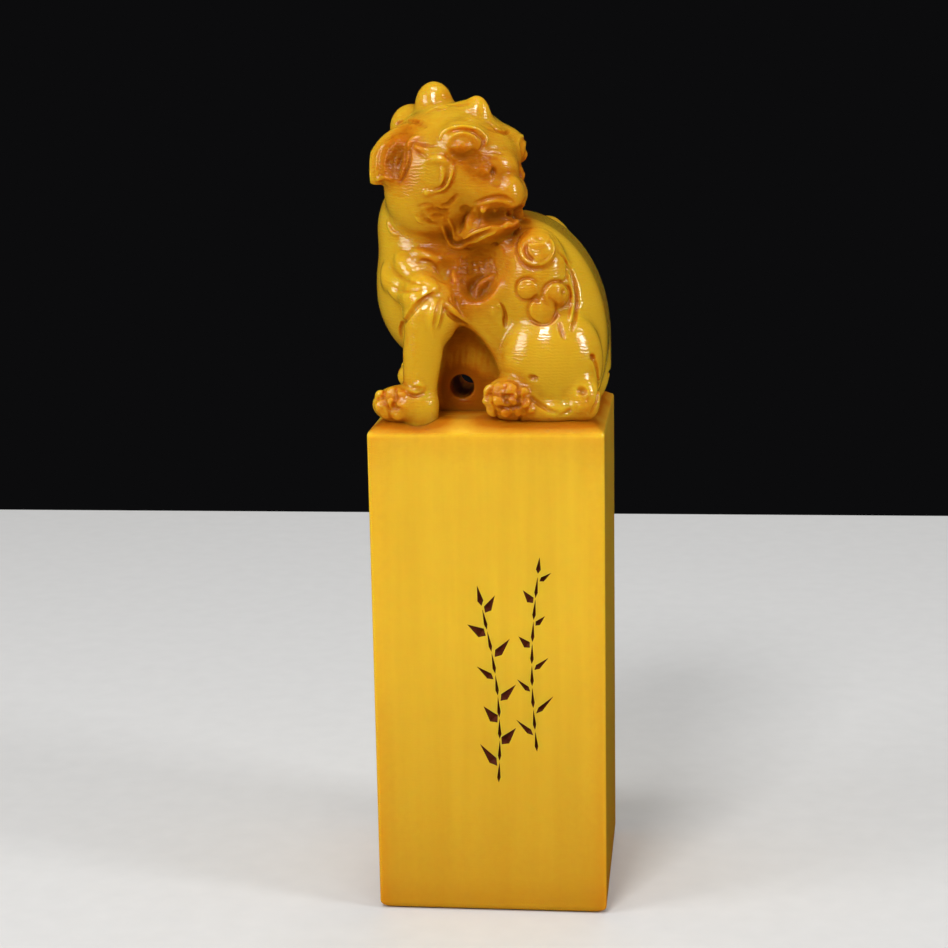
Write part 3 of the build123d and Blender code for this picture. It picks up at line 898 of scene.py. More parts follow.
def rough_head(stone):
    """The skull, muzzle, jaw and knobs, and the cheeks, brows and ears on both sides of the face."""
    for local, radii, lean in HEAD_MASSES.values():
        stone.join_egg(head_place(local), radii, CREASES["head"], turned_axes(lean, HEAD_TURN))
    centre, direction = face_plane()
    for (x, y, z), radii, lean in PAIRED_HEAD_MASSES.values():
        near = head_place((x, -y, z))
        axes = turned_axes(lean, HEAD_TURN)
        stone.join_egg(near, radii, CREASES["head"], axes)
        far = near - 2 * ((near - centre) @ direction) * direction
        stone.join_egg(far, radii, CREASES["head"], axes - 2 * np.outer(axes @ direction, direction))


def carve_beast(cell, seed):
    """The carved block, and the places where patina and painted shade are rubbed in."""
    reach = HALF_WIDTH + CARVING_MARGIN
    stone = Carving((-reach, -reach, CARVING_FLOOR), (reach, reach, TOP_HEIGHT + CARVING_MARGIN), cell)
    rng = np.random.default_rng(seed)
    flank_mirror = (np.zeros(3), np.array([0.0, 1.0, 0.0]))
    face_mirror = face_plane()
    rough_body(stone)
    work(stone, BODY_WORK, flank_mirror)
    stipple(stone, BODY_DENTS, flank_mirror, rng)
    spots = list(patina_and_shade_spots(stone, BODY_PATINA_AND_SHADE, flank_mirror))
    rough_head(stone)
    work(stone, HEAD_WORK, face_mirror, FAR_FACE_SHARE)
    spots += patina_and_shade_spots(stone, HEAD_PATINA_AND_SHADE, face_mirror)
    stipple(stone, HEAD_DENTS, face_mirror, rng)
    stone.soften()
    stone.keep_within(HALF_WIDTH - SIDE_CLEARANCE, BEAST_SOLE, TOP_HEIGHT - TOP_CLEARANCE)
    return stone, spots


def stone_mesh(name, stone):
    """The carved block's surface as a mesh."""
    grid = openvdb.FloatGrid(stone.FAR)
    grid.copyFromArray(stone.field)
    points, tris, quads = grid.convertToPolygons(isovalue=0.0, adaptivity=0.0)
    points = (points * stone.cell + stone.low) * MM
    mesh = bpy.data.meshes.new(name)
    corners = np.concatenate([quads.ravel(), tris.ravel()]).astype(np.int32)
    sizes = np.concatenate([np.full(len(quads), 4), np.full(len(tris), 3)]).astype(np.int32)
    mesh.vertices.add(len(points))
    mesh.vertices.foreach_set("co", points.astype(np.float32).ravel())
    mesh.loops.add(len(corners))
    mesh.loops.foreach_set("vertex_index", corners)
    mesh.polygons.add(len(sizes))
    mesh.polygons.foreach_set("loop_start", np.concatenate([[0], np.cumsum(sizes)[:-1]]).astype(np.int32))
    mesh.update(calc_edges=True)
    return mesh


def recess_depth(stone, points, normals, reaches):
    """How far the stone round each point closes in on it, from 0 open to 1 buried."""
    total = 0.0
    for reach in reaches:
        probe = points + normals * reach
        beyond = np.linalg.norm(probe - np.clip(probe, stone.low, stone.high), axis=1)
        room = stone.sample(probe) + OUTSIDE_RISE * beyond
        total = total + np.clip(1.0 - room / reach, 0.0, 1.0)
    return total / len(reaches)


def patina_and_shade_spots(stone, patches, mirror):
    """Patches of patina and painted shade, and their mirror images, as places on the stone."""
    for pixel, spread, strength in itertools.chain(*patches.values()):
        place = stone.strike([pixel])
        for spot in (place, mirrored(place, *mirror)):
            yield spot[0], spread, strength


def patina_and_shade_held(points, spots):
    """How much patina and painted shade each point holds."""
    total = 0.0
    for place, spread, strength in spots:
        away = ((points - place) ** 2).sum(axis=1)
        total = total + strength * np.exp(-away / spread**2)
    return total


def beast_patina_and_shade(stone, points, normals, spots):
    """How brown each point of the beast is: patina and painted shade in its hollows, the rubbed spots, and
    painted shade at its foot and in the cord hole.
    """
    # Narrow hollows hold patina; the middling and wide ones are also darkened as painted shade
    narrow = recess_depth(stone, points, normals, NARROW_PROBES)
    middle = recess_depth(stone, points, normals, MIDDLE_PROBES)
    wide = np.clip(recess_depth(stone, points, normals, WIDE_PROBES) - WIDE_START, 0.0, 1.0)
    # Painted shade where the beast meets its ground
    above = np.maximum(points[:, 2] - GROUND_HEIGHT, 0.0)
    foot = BEAST_FOOT_SHADE * np.exp(-above / BEAST_FOOT_SPREAD)
    # Painted shade in and round the cord hole
    from_axis = np.hypot(points[:, 0] - CORD_HOLE[0], points[:, 2] - CORD_HOLE[1])
    off_hole = np.maximum(from_axis - CORD_HOLE_RADIUS, 0.0)
    hole = HOLE_SHADE * np.exp(-((off_hole / HOLE_SPREAD) ** 2)) * (np.abs(points[:, 1]) < HOLE_SHADE_WITHIN)
    # Patina in the narrow hollows and painted shade in the broad ones
    hollows = NARROW_SHARE * narrow + MIDDLE_SHARE * middle + WIDE_SHARE * wide
    return np.clip(hollows + patina_and_shade_held(points, spots) + foot + hole - CLEAN_SHARE, 0.0, MOST_PATINA_AND_SHADE)


def shaft_shade_and_darkening(stone, points):
    """How brown each point of the shaft is: painted shade round the beast's feet, and darker on its ground,
    edges and foot.
    """
    height = points[:, 2]
    # Painted shade on the shaft round the beast's feet
    near = np.clip(1.0 - stone.sample(points) / UNDER_BEAST_SPREAD, 0.0, 1.0) ** UNDER_BEAST_FALL
    near[height < GROUND_STARTS] = 0.0
    # Darker towards the foot, along the top edge, at the corners and on the ground
    foot = sum(strength * np.exp(-height / spread) for strength, spread in SHAFT_FOOT_DARKENINGS)
    rim = TOP_EDGE_DARKENING * np.exp(-np.abs(height - TOP_EDGE_HEIGHT) / TOP_EDGE_SPREAD)
    corner = CORNER_DARKENING * np.exp(-(HALF_WIDTH - np.abs(points[:, 0])) / CORNER_SPREAD)
    corner = corner * (height < TOP_EDGE_HEIGHT)
    ground = GROUND_DARKENING * np.clip((height - RISE_STARTS) / GROUND_RISE, 0.0, 1.0)
    return np.clip(UNDER_BEAST_SHADE * near + foot + rim + corner + ground, 0.0, 1.0)


def set_floats(mesh, name, values):
    """Store a value on each of the mesh's points."""
    layer = mesh.attributes.new(name, "FLOAT", "POINT")
    layer.data.foreach_set("value", np.asarray(values, np.float32))


def coordinates(mesh):
    flat = np.empty(len(mesh.vertices) * 3, np.float32)
    mesh.vertices.foreach_get("co", flat)
    return flat.reshape(-1, 3)


def normals_of(mesh):
    flat = np.empty(len(mesh.vertices) * 3, np.float32)
    mesh.vertex_normals.foreach_get("vector", flat)
    return flat.reshape(-1, 3)


def shade_smooth(mesh):
    mesh.polygons.foreach_set("use_smooth", np.ones(len(mesh.polygons), bool))


def linear(hex_colour):
    """An sRGB hex colour as linear RGBA."""
    shares = [int(hex_colour[i : i + 2], 16) / 255 for i in (1, 3, 5)]
    return tuple(s / 12.92 if s <= 0.04045 else ((s + 0.055) / 1.055) ** 2.4 for s in shares) + (1.0,)


def add_node(tree, kind, settings=(), inputs=()):
    """A node with its settings, and inputs given as values or as other nodes' outputs."""
    node = tree.nodes.new(kind)
    for key, value in dict(settings).items():
        setattr(node, key, value)
    for key, value in dict(inputs).items():
        if isinstance(value, bpy.types.NodeSocket):
            tree.links.new(value, node.inputs[key])
        else:
            node.inputs[key].default_value = value
    return node


def new_material(name):
    """An empty material, its node tree and the Object coordinates in it."""
    material = bpy.data.materials.new(name)
    material.use_nodes = True
    tree = material.node_tree
    tree.nodes.clear()
    return material, tree, add_node(tree, "ShaderNodeTexCoord").outputs["Object"]


def per_mm(millimetres):
    """The scale of a pattern on Object coordinates whose features are this wide."""
    return 1.0 / (millimetres * MM)


def stone_tone(tree, place, finish):
    """The clean stone's colour: clouds, streaks along the block, and a shaft that darkens towards its foot.
    """
    light, dark, streak_tone = (linear(tone) for tone in finish["tones"])
    clouds = add_node(tree, "ShaderNodeTexNoise", {}, {
        "Vector": place, "Scale": per_mm(CLOUD_SIZE), "Detail": 3.0})
    body = add_node(tree, "ShaderNodeMix", {"data_type": "RGBA"}, {
        0: clouds.outputs["Fac"], 6: light, 7: dark})
    flow = add_node(tree, "ShaderNodeMapping", {}, {"Vector": place, "Scale": (1.0, 1.0, STREAK_STRETCH)})
    lines = add_node(tree, "ShaderNodeTexNoise", {}, {
        "Vector": flow.outputs[0], "Scale": per_mm(STREAK_SIZE), "Detail": 4.0})
    streaks = add_node(tree, "ShaderNodeMapRange", {}, {
        "Value": lines.outputs["Fac"], "From Min": STREAK_RANGE[0], "From Max": STREAK_RANGE[1],
        "To Min": 0.0, "To Max": finish["streaks"]})
    body = add_node(tree, "ShaderNodeMix", {"data_type": "RGBA"}, {
        0: streaks.outputs[0], 6: body.outputs[2], 7: streak_tone})
    height = add_node(tree, "ShaderNodeSeparateXYZ", {}, {"Vector": place}).outputs["Z"]
    # Darker towards the shaft's foot
    towards_foot = add_node(tree, "ShaderNodeMapRange", {}, {
        "Value": height, "From Min": 0.0, "From Max": DARKER_FOOT_SHARE * GROUND_HEIGHT * MM,
        "To Min": MOST_DARKER_FOOT, "To Max": 0.0})
    return add_node(tree, "ShaderNodeMix", {"data_type": "RGBA"}, {
        0: towards_foot.outputs[0], 6: body.outputs[2], 7: linear(FOOT_TONE)}).outputs[2]


def tool_relief(tree, place, strength):
    """The fine ridges that the tool leaves round the stone."""
    ridges = add_node(tree, "ShaderNodeTexWave", {"bands_direction": "Z"}, {
        "Vector": place, "Scale": per_mm(RIDGE_PITCH) * math.pi / 10,
        "Distortion": 6.0, "Detail": 2.0, "Detail Scale": 1.5})
    grain = add_node(tree, "ShaderNodeTexNoise", {}, {
        "Vector": place, "Scale": per_mm(GRAIN_SIZE), "Detail": 3.0})
    relief = add_node(tree, "ShaderNodeMath", {"operation": "MULTIPLY_ADD"}, {
        0: ridges.outputs["Fac"], 1: RIDGE_SHARE, 2: grain.outputs["Fac"]})
    return add_node(tree, "ShaderNodeBump", {}, {
        "Height": relief.outputs[0], "Distance": RIDGE_DEPTH * MM, "Strength": strength}).outputs[0]


def soapstone_material(name, finish):
    # Waxed yellow soapstone. It reads as stone by three things: light that goes in and comes
    # out amber, sharp lamp reflections broken by fine tool ridges, and brown patina with painted
    # shade that darkens and dulls every hollow. The shaft has more streaks and a flatter, softer polish.
    material, tree, place = new_material(name)
    # The recess value is how brown each point is: patina and painted shade in the beast's hollows, and on the
    # shaft painted shade round the beast plus a darker foot, edges, corners and ground
    recess = add_node(tree, "ShaderNodeAttribute", {"attribute_name": "recess"}).outputs["Fac"]
    speckle = add_node(tree, "ShaderNodeTexNoise", {}, {
        "Vector": place, "Scale": per_mm(GRIME_SIZE), "Detail": 5.0})
    worn = add_node(tree, "ShaderNodeMath", {"operation": "MULTIPLY_ADD"}, {
        0: speckle.outputs["Fac"], 1: finish["grime"], 2: -finish["grime"] / 2})
    patina_shade_and_grime = add_node(tree, "ShaderNodeMath", {"operation": "ADD"}, {
        0: recess, 1: worn.outputs[0]}).outputs[0]
    ramp = add_node(tree, "ShaderNodeValToRGB", {}, {"Fac": patina_shade_and_grime})
    for element, position, level in zip(ramp.color_ramp.elements, PATINA_AND_SHADE_RANGE, (0, 1)):
        element.position = position
        element.color = (level, level, level, 1)
    patina_and_shade_share = ramp.outputs[0]
    deep_patina_and_shade = add_node(tree, "ShaderNodeMapRange", {}, {
        "Value": patina_shade_and_grime, "From Min": DEEP_PATINA_AND_SHADE_RANGE[0], "From Max": DEEP_PATINA_AND_SHADE_RANGE[1],
        "To Min": 0.0, "To Max": MOST_DEEP_PATINA_AND_SHADE})
    colour = stone_tone(tree, place, finish)
    for share, tone in ((patina_and_shade_share, PATINA_AND_SHADE_TONE), (deep_patina_and_shade.outputs[0], DEEP_PATINA_AND_SHADE_TONE)):
        colour = add_node(tree, "ShaderNodeMix", {"data_type": "RGBA"}, {
            0: share, 6: colour, 7: linear(tone)}).outputs[2]
    # The polish from clean stone to the brown of patina and painted shade
    polish = {
        socket: add_node(tree, "ShaderNodeMapRange", {}, {
            "Value": patina_and_shade_share, "To Min": clean, "To Max": stained}).outputs[0]
        for socket, clean, stained in (
            ("Roughness", POLISHED, DULLED),
            ("Specular IOR Level", finish["shine"], DULLED_SHINE),
            ("Coat Weight", finish["coat"], 0.0))}
    shader = add_node(tree, "ShaderNodeBsdfPrincipled", {"subsurface_method": "RANDOM_WALK"}, {
        **polish, "Base Color": colour, "IOR": REFRACTION,
        "Normal": tool_relief(tree, place, finish["relief"]),
        "Subsurface Weight": 1.0, "Subsurface Scale": LIGHT_DEPTH * MM, "Subsurface Radius": LIGHT_SPREAD,
        "Coat Roughness": 0.04})
    add_node(tree, "ShaderNodeOutputMaterial", {}, {"Surface": shader.outputs[0]})
    return material


def pigment_material():
    # Dark brown pigment rubbed into the knife cuts: dry and dull beside the waxed stone.
    material, tree, place = new_material("brown_pigment_in_knife_cuts")
    grain = add_node(tree, "ShaderNodeTexNoise", {}, {"Vector": place, "Scale": per_mm(0.3), "Detail": 4.0})
    dark, light = (linear(tone) for tone in PIGMENT_TONES)
    colour = add_node(tree, "ShaderNodeMix", {"data_type": "RGBA"}, {
        0: grain.outputs["Fac"], 6: dark, 7: light})
    shader = add_node(tree, "ShaderNodeBsdfPrincipled", {}, {
        "Base Color": colour.outputs[2], "Roughness": 0.6, "Specular IOR Level": 0.15})
    add_node(tree, "ShaderNodeOutputMaterial", {}, {"Surface": shader.outputs[0]})
    return material


def table_material():
    # A pale matt table top, which only has to look plain.
    material, tree, place = new_material("pale_table")
    clouds = add_node(tree, "ShaderNodeTexNoise", {}, {"Vector": place, "Scale": per_mm(3.0), "Detail": 4.0})
    dark, light = (linear(tone) for tone in TABLE_TONES)
    colour = add_node(tree, "ShaderNodeMix", {"data_type": "RGBA"}, {
        0: clouds.outputs["Fac"], 6: dark, 7: light})
    shader = add_node(tree, "ShaderNodeBsdfPrincipled", {}, {
        "Base Color": colour.outputs[2], "Roughness": 0.6})
    add_node(tree, "ShaderNodeOutputMaterial", {}, {"Surface": shader.outputs[0]})
    return material


def put_in_scene(name, data):
    """A new object in the scene that shows a mesh, a lamp or a camera."""
    thing = bpy.data.objects.new(name, data)
    bpy.context.scene.collection.objects.link(thing)
    return thing


def square_ring(half, radius, height):
    """Points round a square with rounded corners, at one height."""
    side_steps, corner_steps = 24, 4
    radius = min(radius, half)
    reach = half - radius
    corners = ((1, 1), (-1, 1), (-1, -1), (1, -1))
    ring = []
    for turn, (sx, sy) in enumerate(corners):
        for step in range(corner_steps + 1):
            angle = math.pi / 2 * (turn + step / corner_steps)
            ring.append((sx * reach + radius * math.cos(angle), sy * reach + radius * math.sin(angle)))
        start_x, start_y = ring[-1]
        angle = math.pi / 2 * (turn + 1)
        nx, ny = corners[(turn + 1) % 4]
        end_x, end_y = nx * reach + radius * math.cos(angle), ny * reach + radius * math.sin(angle)
        for share in np.arange(1, side_steps) / side_steps:
            ring.append((start_x + (end_x - start_x) * share, start_y + (end_y - start_y) * share))
    return [(x, y, height) for x, y in ring]


def shaft_outline():
    """The shaft's side as (inset, height): rounded foot, side, shoulder, sloped rise and flat ground."""
    foot = [
        (FOOT_ROUND - FOOT_ROUND * math.sin(a), FOOT_ROUND - FOOT_ROUND * math.cos(a))
        for a in np.linspace(0, math.pi / 2, FOOT_STEPS)]
    sides = [(0.0, z) for z in np.linspace(*SIDE_SPAN, SIDE_STEPS)]
    inset, height = SHOULDER[-1]
    climb = GROUND_HEIGHT - height
    rise = [
        (inset + RISE_WIDTH * share, height + climb * math.sin(share * math.pi / 2))
        for share in np.linspace(1 / RISE_STEPS, 1, RISE_STEPS)]
    top = [(inset, GROUND_HEIGHT) for inset in np.arange(*TOP_INSETS)]
    return [*foot, *sides, *SHOULDER, *rise, *top]


def shaft_mesh(name):
    """The blank from its softened foot to the ground that the beast sits on."""
    graph = bmesh.new()
    rings = []
    for inset, height in shaft_outline():
        half = HALF_WIDTH - inset
        points = square_ring(half, min(EDGE_ROUND + inset, half * MOST_ROUND_SHARE), height)
        rings.append([graph.verts.new(Vector(p) * MM) for p in points])
    count = len(rings[0])
    for lower, upper in zip(rings[:-1], rings[1:]):
        for i in range(count):
            j = (i + 1) % count
            graph.faces.new((lower[i], lower[j], upper[j], upper[i]))
    graph.faces.new(list(reversed(rings[0])))
    graph.faces.new(rings[-1])
    bmesh.ops.recalc_face_normals(graph, faces=graph.faces)
    mesh = bpy.data.meshes.new(name)
    graph.to_mesh(mesh)
    graph.free()
    return mesh


def twig_cuts(foot, head, bow, leaf, rng):
    """The knife cuts of one leafy twig: each a place, a turn, a length and a width."""
    foot, head = np.array(foot), np.array(head)

    def stem(share):
        along = head - foot
        across = np.array([along[1], -along[0]]) / np.linalg.norm(along)
        return foot + along * share + across * bow * math.sin(math.pi * share)

    def cut(start, aim, length, width):
        aim = aim / np.linalg.norm(aim)
        middle = start + aim * length / 2
        return middle, math.atan2(-aim[0], -aim[1]), length, width

    for step in range(LEAVES_PER_TWIG):
        start, end = stem(step / LEAVES_PER_TWIG), stem((step + 1) / LEAVES_PER_TWIG)
        run = end - start
        yield cut(start, run, STEM_CUT_SHARE * np.linalg.norm(run), STEM_WIDTH)
        spread = rng.uniform(-LEAF_ANGLE_SPREAD, LEAF_ANGLE_SPREAD)
        angle = math.radians(LEAF_ANGLE + spread) * (-1) ** step
        c, s = math.cos(angle), math.sin(angle)
        aim = np.array([c * run[0] - s * run[1], s * run[0] + c * run[1]]) / np.linalg.norm(run)
        length = leaf * (1.0 - LEAF_SHRINK_SHARE * step / LEAVES_PER_TWIG) * rng.uniform(*LEAF_LENGTH_SHARES)
        width = LEAF_WIDTH_SHARE * leaf * rng.uniform(*LEAF_WIDTH_SHARES)
        yield cut(end - LEAF_START_SHARE * run + LEAF_GAP * aim, aim, length, width)
    tip = head + TIP_GAP * run / np.linalg.norm(run)
    yield cut(tip, run, TIP_LENGTH_SHARE * leaf, TIP_WIDTH_SHARE * leaf)


def knife_cut_tree():
    """A node tree that sets one wedge of a cut on each point."""
    tree = bpy.data.node_groups.new("knife_cuts", "GeometryNodeTree")
    for name, direction, kind in (
        ("Places", "INPUT", "Geometry"), ("Depth", "INPUT", "Float"), ("Unevenness", "INPUT", "Float"),
        ("Seed", "INPUT", "Int"), ("Pigment", "INPUT", "Material"), ("Cuts", "OUTPUT", "Geometry"),
    ):
        tree.interface.new_socket(name, in_out=direction, socket_type="NodeSocket" + kind)
    given = add_node(tree, "NodeGroupInput").outputs
    turn, span, girth = (
        add_node(tree, "GeometryNodeInputNamedAttribute", {"data_type": "FLOAT"}, {
            "Name": name}).outputs["Attribute"]
        for name in ("turn", "span", "girth"))
    least, most = (
        add_node(tree, "ShaderNodeMath", {"operation": operation}, {
            0: 1.0, 1: given["Unevenness"]}).outputs[0]
        for operation in ("SUBTRACT", "ADD"))
    chance = add_node(tree, "FunctionNodeRandomValue", {"data_type": "FLOAT"}, {
        "Seed": given["Seed"], 2: least, 3: most})
    depth = add_node(tree, "ShaderNodeMath", {"operation": "MULTIPLY"}, {
        0: given["Depth"], 1: chance.outputs[1]})
    half_girth, half_span = (
        add_node(tree, "ShaderNodeMath", {"operation": "MULTIPLY"}, {0: whole, 1: 0.5}).outputs[0]
        for whole in (girth, span))
    size = add_node(tree, "ShaderNodeCombineXYZ", {}, {0: half_girth, 1: depth.outputs[0], 2: half_span})
    angles = add_node(tree, "ShaderNodeCombineXYZ", {}, {1: turn})
    rotation = add_node(tree, "FunctionNodeEulerToRotation", {}, {0: angles.outputs[0]})
    # A ball of two rings is two cones, base to base. Their base is moved along, so that the cut
    # is broad near one end and thin at the other.
    ball = add_node(tree, "GeometryNodeMeshUVSphere", {}, {"Segments": 8, "Rings": 2, "Radius": 1.0})
    height = add_node(tree, "ShaderNodeSeparateXYZ", {}, {
        0: add_node(tree, "GeometryNodeInputPosition").outputs[0]}).outputs["Z"]
    waist = add_node(tree, "FunctionNodeCompare", {"data_type": "FLOAT", "operation": "EQUAL"}, {
        0: height, 1: 0.0, "Epsilon": 0.1})
    wedge = add_node(tree, "GeometryNodeSetPosition", {}, {
        "Geometry": ball.outputs["Mesh"], "Selection": waist.outputs[0], "Offset": (0.0, 0.0, 0.5)})
    placed = add_node(tree, "GeometryNodeInstanceOnPoints", {}, {
        "Points": given["Places"], "Instance": wedge.outputs["Geometry"],
        "Rotation": rotation.outputs[0], "Scale": size.outputs[0]})
    real = add_node(tree, "GeometryNodeRealizeInstances", {}, {"Geometry": placed.outputs[0]})
    painted = add_node(tree, "GeometryNodeSetMaterial", {}, {
        "Geometry": real.outputs[0], "Material": given["Pigment"]})
    add_node(tree, "NodeGroupOutput", {}, {0: painted.outputs[0]})
    return tree


def plain_mesh(piece, context):
    """The piece's evaluated mesh, taken over in place of its modifiers."""
    mesh = bpy.data.meshes.new_from_object(piece.evaluated_get(context.evaluated_depsgraph_get()))
    piece.modifiers.clear()
    piece.data = mesh
    return mesh


def knife_cuts(context, depth, unevenness, seed):
    """The leafy twigs' cuts on the front face, as one object to cut with."""
    rng = np.random.default_rng(seed)
    cuts = [cut for twig in TWIGS for cut in twig_cuts(*twig, rng)]
    mesh = bpy.data.meshes.new("knife_cuts")
    mesh.from_pydata([(x * MM, -HALF_WIDTH * MM, z * MM) for (x, z), *_ in cuts], [], [])
    set_floats(mesh, "turn", [turn for _, turn, _, _ in cuts])
    set_floats(mesh, "span", [length * MM for _, _, length, _ in cuts])
    set_floats(mesh, "girth", [width * MM for _, _, _, width in cuts])
    cutter = put_in_scene("knife_cuts", mesh)
    tree = knife_cut_tree()
    values = {"Depth": depth, "Unevenness": unevenness, "Seed": seed, "Pigment": pigment_material()}
    nodes = cutter.modifiers.new("knife_cuts", "NODES")
    nodes.node_group = tree
    for item in tree.interface.items_tree:
        if item.in_out == "INPUT" and item.name in values:
            nodes[item.identifier] = values[item.name]
    plain_mesh(cutter, context)
    return cutter


def lay_table():
    """The pale table top, which the polished stone doesn't mirror."""
    mesh = bpy.data.meshes.new("floor")
    corners = [
        (-TABLE_SIDE, TABLE_NEAR, 0), (TABLE_SIDE, TABLE_NEAR, 0),
        (TABLE_SIDE, TABLE_FAR, 0), (-TABLE_SIDE, TABLE_FAR, 0)]
    mesh.from_pydata(corners, [], [(0, 1, 2, 3)])
    mesh.materials.append(table_material())
    floor = put_in_scene("floor", mesh)
    floor.visible_glossy = False


def soft_world(strength):
    """Even light from all round, while the camera and the polish see a dark backdrop."""
    world = bpy.data.worlds.new("soft_light")
    world.use_nodes = True
    tree = world.node_tree
    tree.nodes.clear()
    path = add_node(tree, "ShaderNodeLightPath").outputs
    seen = path["Is Camera Ray"]
    for ray in ("Is Glossy Ray", "Is Transmission Ray"):
        seen = add_node(tree, "ShaderNodeMath", {"operation": "MAXIMUM"}, {0: seen, 1: path[ray]}).outputs[0]
    ambient, backdrop = (
        add_node(tree, "ShaderNodeBackground", {}, {"Color": linear(tone), "Strength": level}).outputs[0]
        for tone, level in ((AMBIENT_TONE, strength), (BACKDROP_TONE, 1.0)))
    both = add_node(tree, "ShaderNodeMixShader", {}, {0: seen, 1: ambient, 2: backdrop})
    add_node(tree, "ShaderNodeOutputWorld", {}, {"Surface": both.outputs[0]})
    return world


def hang_lights(key_power):
    """The softboxes, all turned to the seal."""
    for name, (place, size, share, mirrored_in_stone) in LIGHTS.items():
        lamp = bpy.data.lights.new(name, "AREA")
        lamp.shape = "RECTANGLE"
        lamp.size, lamp.size_y = size
        lamp.energy = share * key_power
        holder = put_in_scene(name, lamp)
        holder.location = place
        holder.rotation_euler = (Vector(LIGHTS_AIM) - holder.location).to_track_quat("-Z", "Y").to_euler()
        holder.visible_glossy = mirrored_in_stone


def photo_camera():
    """A camera where the photograph's was."""
    right, up, forward = (Vector(axis) for axis in camera_axes())
    lens = bpy.data.cameras.new("camera")
    lens.sensor_width = SENSOR_WIDTH
    lens.lens = FOCAL_PIXELS * SENSOR_WIDTH / FRAME_PIXELS
    lens.clip_start = NEAREST_CLIP
    camera = put_in_scene("camera", lens)
    turn = Matrix((right, up, -forward)).transposed()
    camera.matrix_world = Matrix.Translation(Vector(CAMERA_PLACE) * MM) @ turn.to_4x4()
    return camera


class SealBeastSettings(bpy.types.PropertyGroup):
    """How finely the beast is carved"""

    cell: bpy.props.FloatProperty(
        name="Cell", description="Size of the carved block's cells", default=0.11 * MM, min=0.05 * MM,
        precision=5, subtype="DISTANCE", unit="LENGTH")
    draft_cell: bpy.props.FloatProperty(
        name="Draft cell", description="Size of the cells in a quick look", default=0.18 * MM, min=0.05 * MM,
        precision=5, subtype="DISTANCE", unit="LENGTH")
    triangles: bpy.props.IntProperty(
        name="Triangles", description="Most triangles that the beast keeps", default=190000, min=1000)
    seed: bpy.props.IntProperty(name="Seed", description="Scatters the chisel dents", default=7)


class SealShaftSettings(bpy.types.PropertyGroup):
    """The knife-cut twigs on the shaft"""

    cut_depth: bpy.props.FloatProperty(
        name="Cut depth", description="How deep the knife goes", default=0.42 * MM, min=0.0,
        precision=5, subtype="DISTANCE", unit="LENGTH")
    unevenness: bpy.props.FloatProperty(
        name="Unevenness", description="How much the cuts differ in depth", default=0.25, min=0.0, max=0.9,
        subtype="FACTOR")
    seed: bpy.props.IntProperty(name="Seed", description="Varies the leaves", default=11)


class SealStageSettings(bpy.types.PropertyGroup):
    """The light round the stamp"""

    key_power: bpy.props.FloatProperty(
        name="Key power", description="Power of the main softbox", default=1.34, min=0.0, unit="POWER")
    ambient: bpy.props.FloatProperty(
        name="Ambient", description="Strength of the light from all round", default=0.30, min=0.0)


# The carved block stays here after the beast is made, because the painted shade on the shaft round the beast
# is measured from it
CARVED = {}


class SEAL_OT_beast(bpy.types.Operator):
    """Carve the guardian beast"""

    bl_idname = "seal.beast"
    bl_label = "Guardian beast"

    def execute(self, context):
        settings = context.scene.seal_beast
        cell = settings.cell
        stone, spots = carve_beast(cell / MM, settings.seed)
        mesh = stone_mesh("guardian_beast", stone)
        piece = put_in_scene("guardian_beast", mesh)
        faces = sum(len(p.vertices) - 2 for p in mesh.polygons)
        thin = piece.modifiers.new("thin", "DECIMATE")
        thin.ratio = min(1.0, settings.triangles / faces)
        mesh = plain_mesh(piece, context)
        set_floats(mesh, "recess", beast_patina_and_shade(stone, coordinates(mesh) / MM, normals_of(mesh), spots))
        shade_smooth(mesh)
        mesh.materials.append(soapstone_material("waxed_yellow_soapstone_carving", FINISHES["carving"]))
        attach(piece, "root")
        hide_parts(*(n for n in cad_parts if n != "seal_shaft"))
        CARVED["stone"] = stone
        return {"FINISHED"}


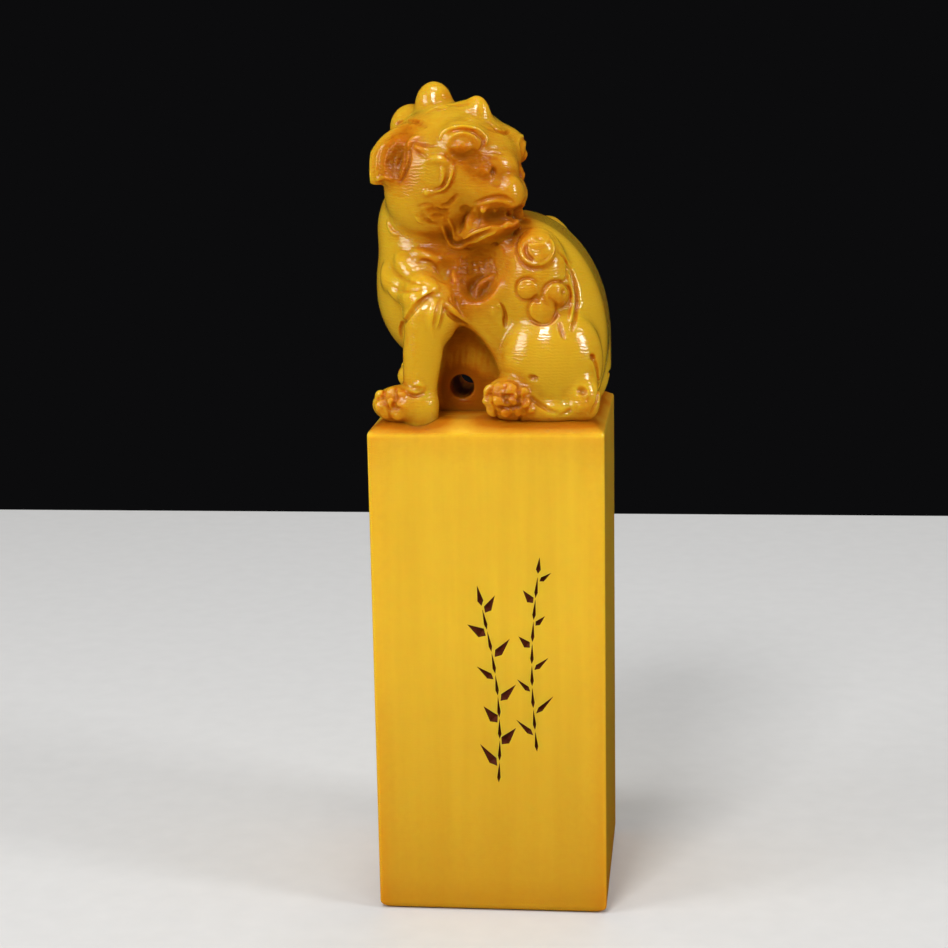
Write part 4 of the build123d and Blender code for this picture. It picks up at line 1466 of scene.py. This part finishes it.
class SEAL_OT_shaft(bpy.types.Operator):
    """Build the square shaft"""

    bl_idname = "seal.shaft"
    bl_label = "Square shaft"

    def execute(self, context):
        settings = context.scene.seal_shaft
        mesh = shaft_mesh("seal_shaft_stone")
        mesh.materials.append(soapstone_material("waxed_yellow_soapstone_shaft", FINISHES["shaft"]))
        piece = put_in_scene("seal_shaft_stone", mesh)
        cutter = knife_cuts(context, settings.cut_depth, settings.unevenness, settings.seed)
        cut = piece.modifiers.new("cut", "BOOLEAN")
        cut.operation = "DIFFERENCE"
        cut.solver = "EXACT"
        cut.use_self = True
        cut.material_mode = "TRANSFER"
        cut.object = cutter
        mesh = plain_mesh(piece, context)
        bpy.data.objects.remove(cutter)
        set_floats(mesh, "recess", shaft_shade_and_darkening(CARVED["stone"], coordinates(mesh) / MM))
        shade_smooth(mesh)
        mesh.set_sharp_from_angle(angle=math.radians(SHARP_ANGLE))
        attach(piece, "root")
        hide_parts("seal_shaft")
        return {"FINISHED"}


class SEAL_OT_stage(bpy.types.Operator):
    """Set the floor, the lights and the camera"""

    bl_idname = "seal.stage"
    bl_label = "Stage"

    def execute(self, context):
        scene = context.scene
        settings = scene.seal_stage
        scene.view_settings.view_transform = "Standard"
        lay_table()
        scene.world = soft_world(settings.ambient)
        hang_lights(settings.key_power)
        scene.camera = photo_camera()
        return {"FINISHED"}


SETTINGS = {"seal_beast": SealBeastSettings, "seal_shaft": SealShaftSettings, "seal_stage": SealStageSettings}


class SEAL_PT_stamp(bpy.types.Panel):
    """The stamp's pieces and their settings"""

    bl_idname = "SEAL_PT_stamp"
    bl_label = "Seal stamp"
    bl_space_type = "VIEW_3D"
    bl_region_type = "UI"
    bl_category = "Seal stamp"

    def draw(self, context):
        for name, group in SETTINGS.items():
            box = self.layout.box()
            for setting in group.__annotations__:
                box.prop(getattr(context.scene, name), setting)
            box.operator(name.replace("_", "."))


CLASSES = (*SETTINGS.values(), SEAL_OT_beast, SEAL_OT_shaft, SEAL_OT_stage, SEAL_PT_stamp)


def register():
    for entry in CLASSES:
        bpy.utils.register_class(entry)
    for name, group in SETTINGS.items():
        setattr(bpy.types.Scene, name, bpy.props.PointerProperty(type=group))


def unregister():
    for name in SETTINGS:
        delattr(bpy.types.Scene, name)
    for entry in reversed(CLASSES):
        bpy.utils.unregister_class(entry)


def main():
    register()
    bpy.ops.seal.beast()
    bpy.ops.seal.shaft()
    bpy.ops.seal.stage()


if __name__ == "__main__":
    main()
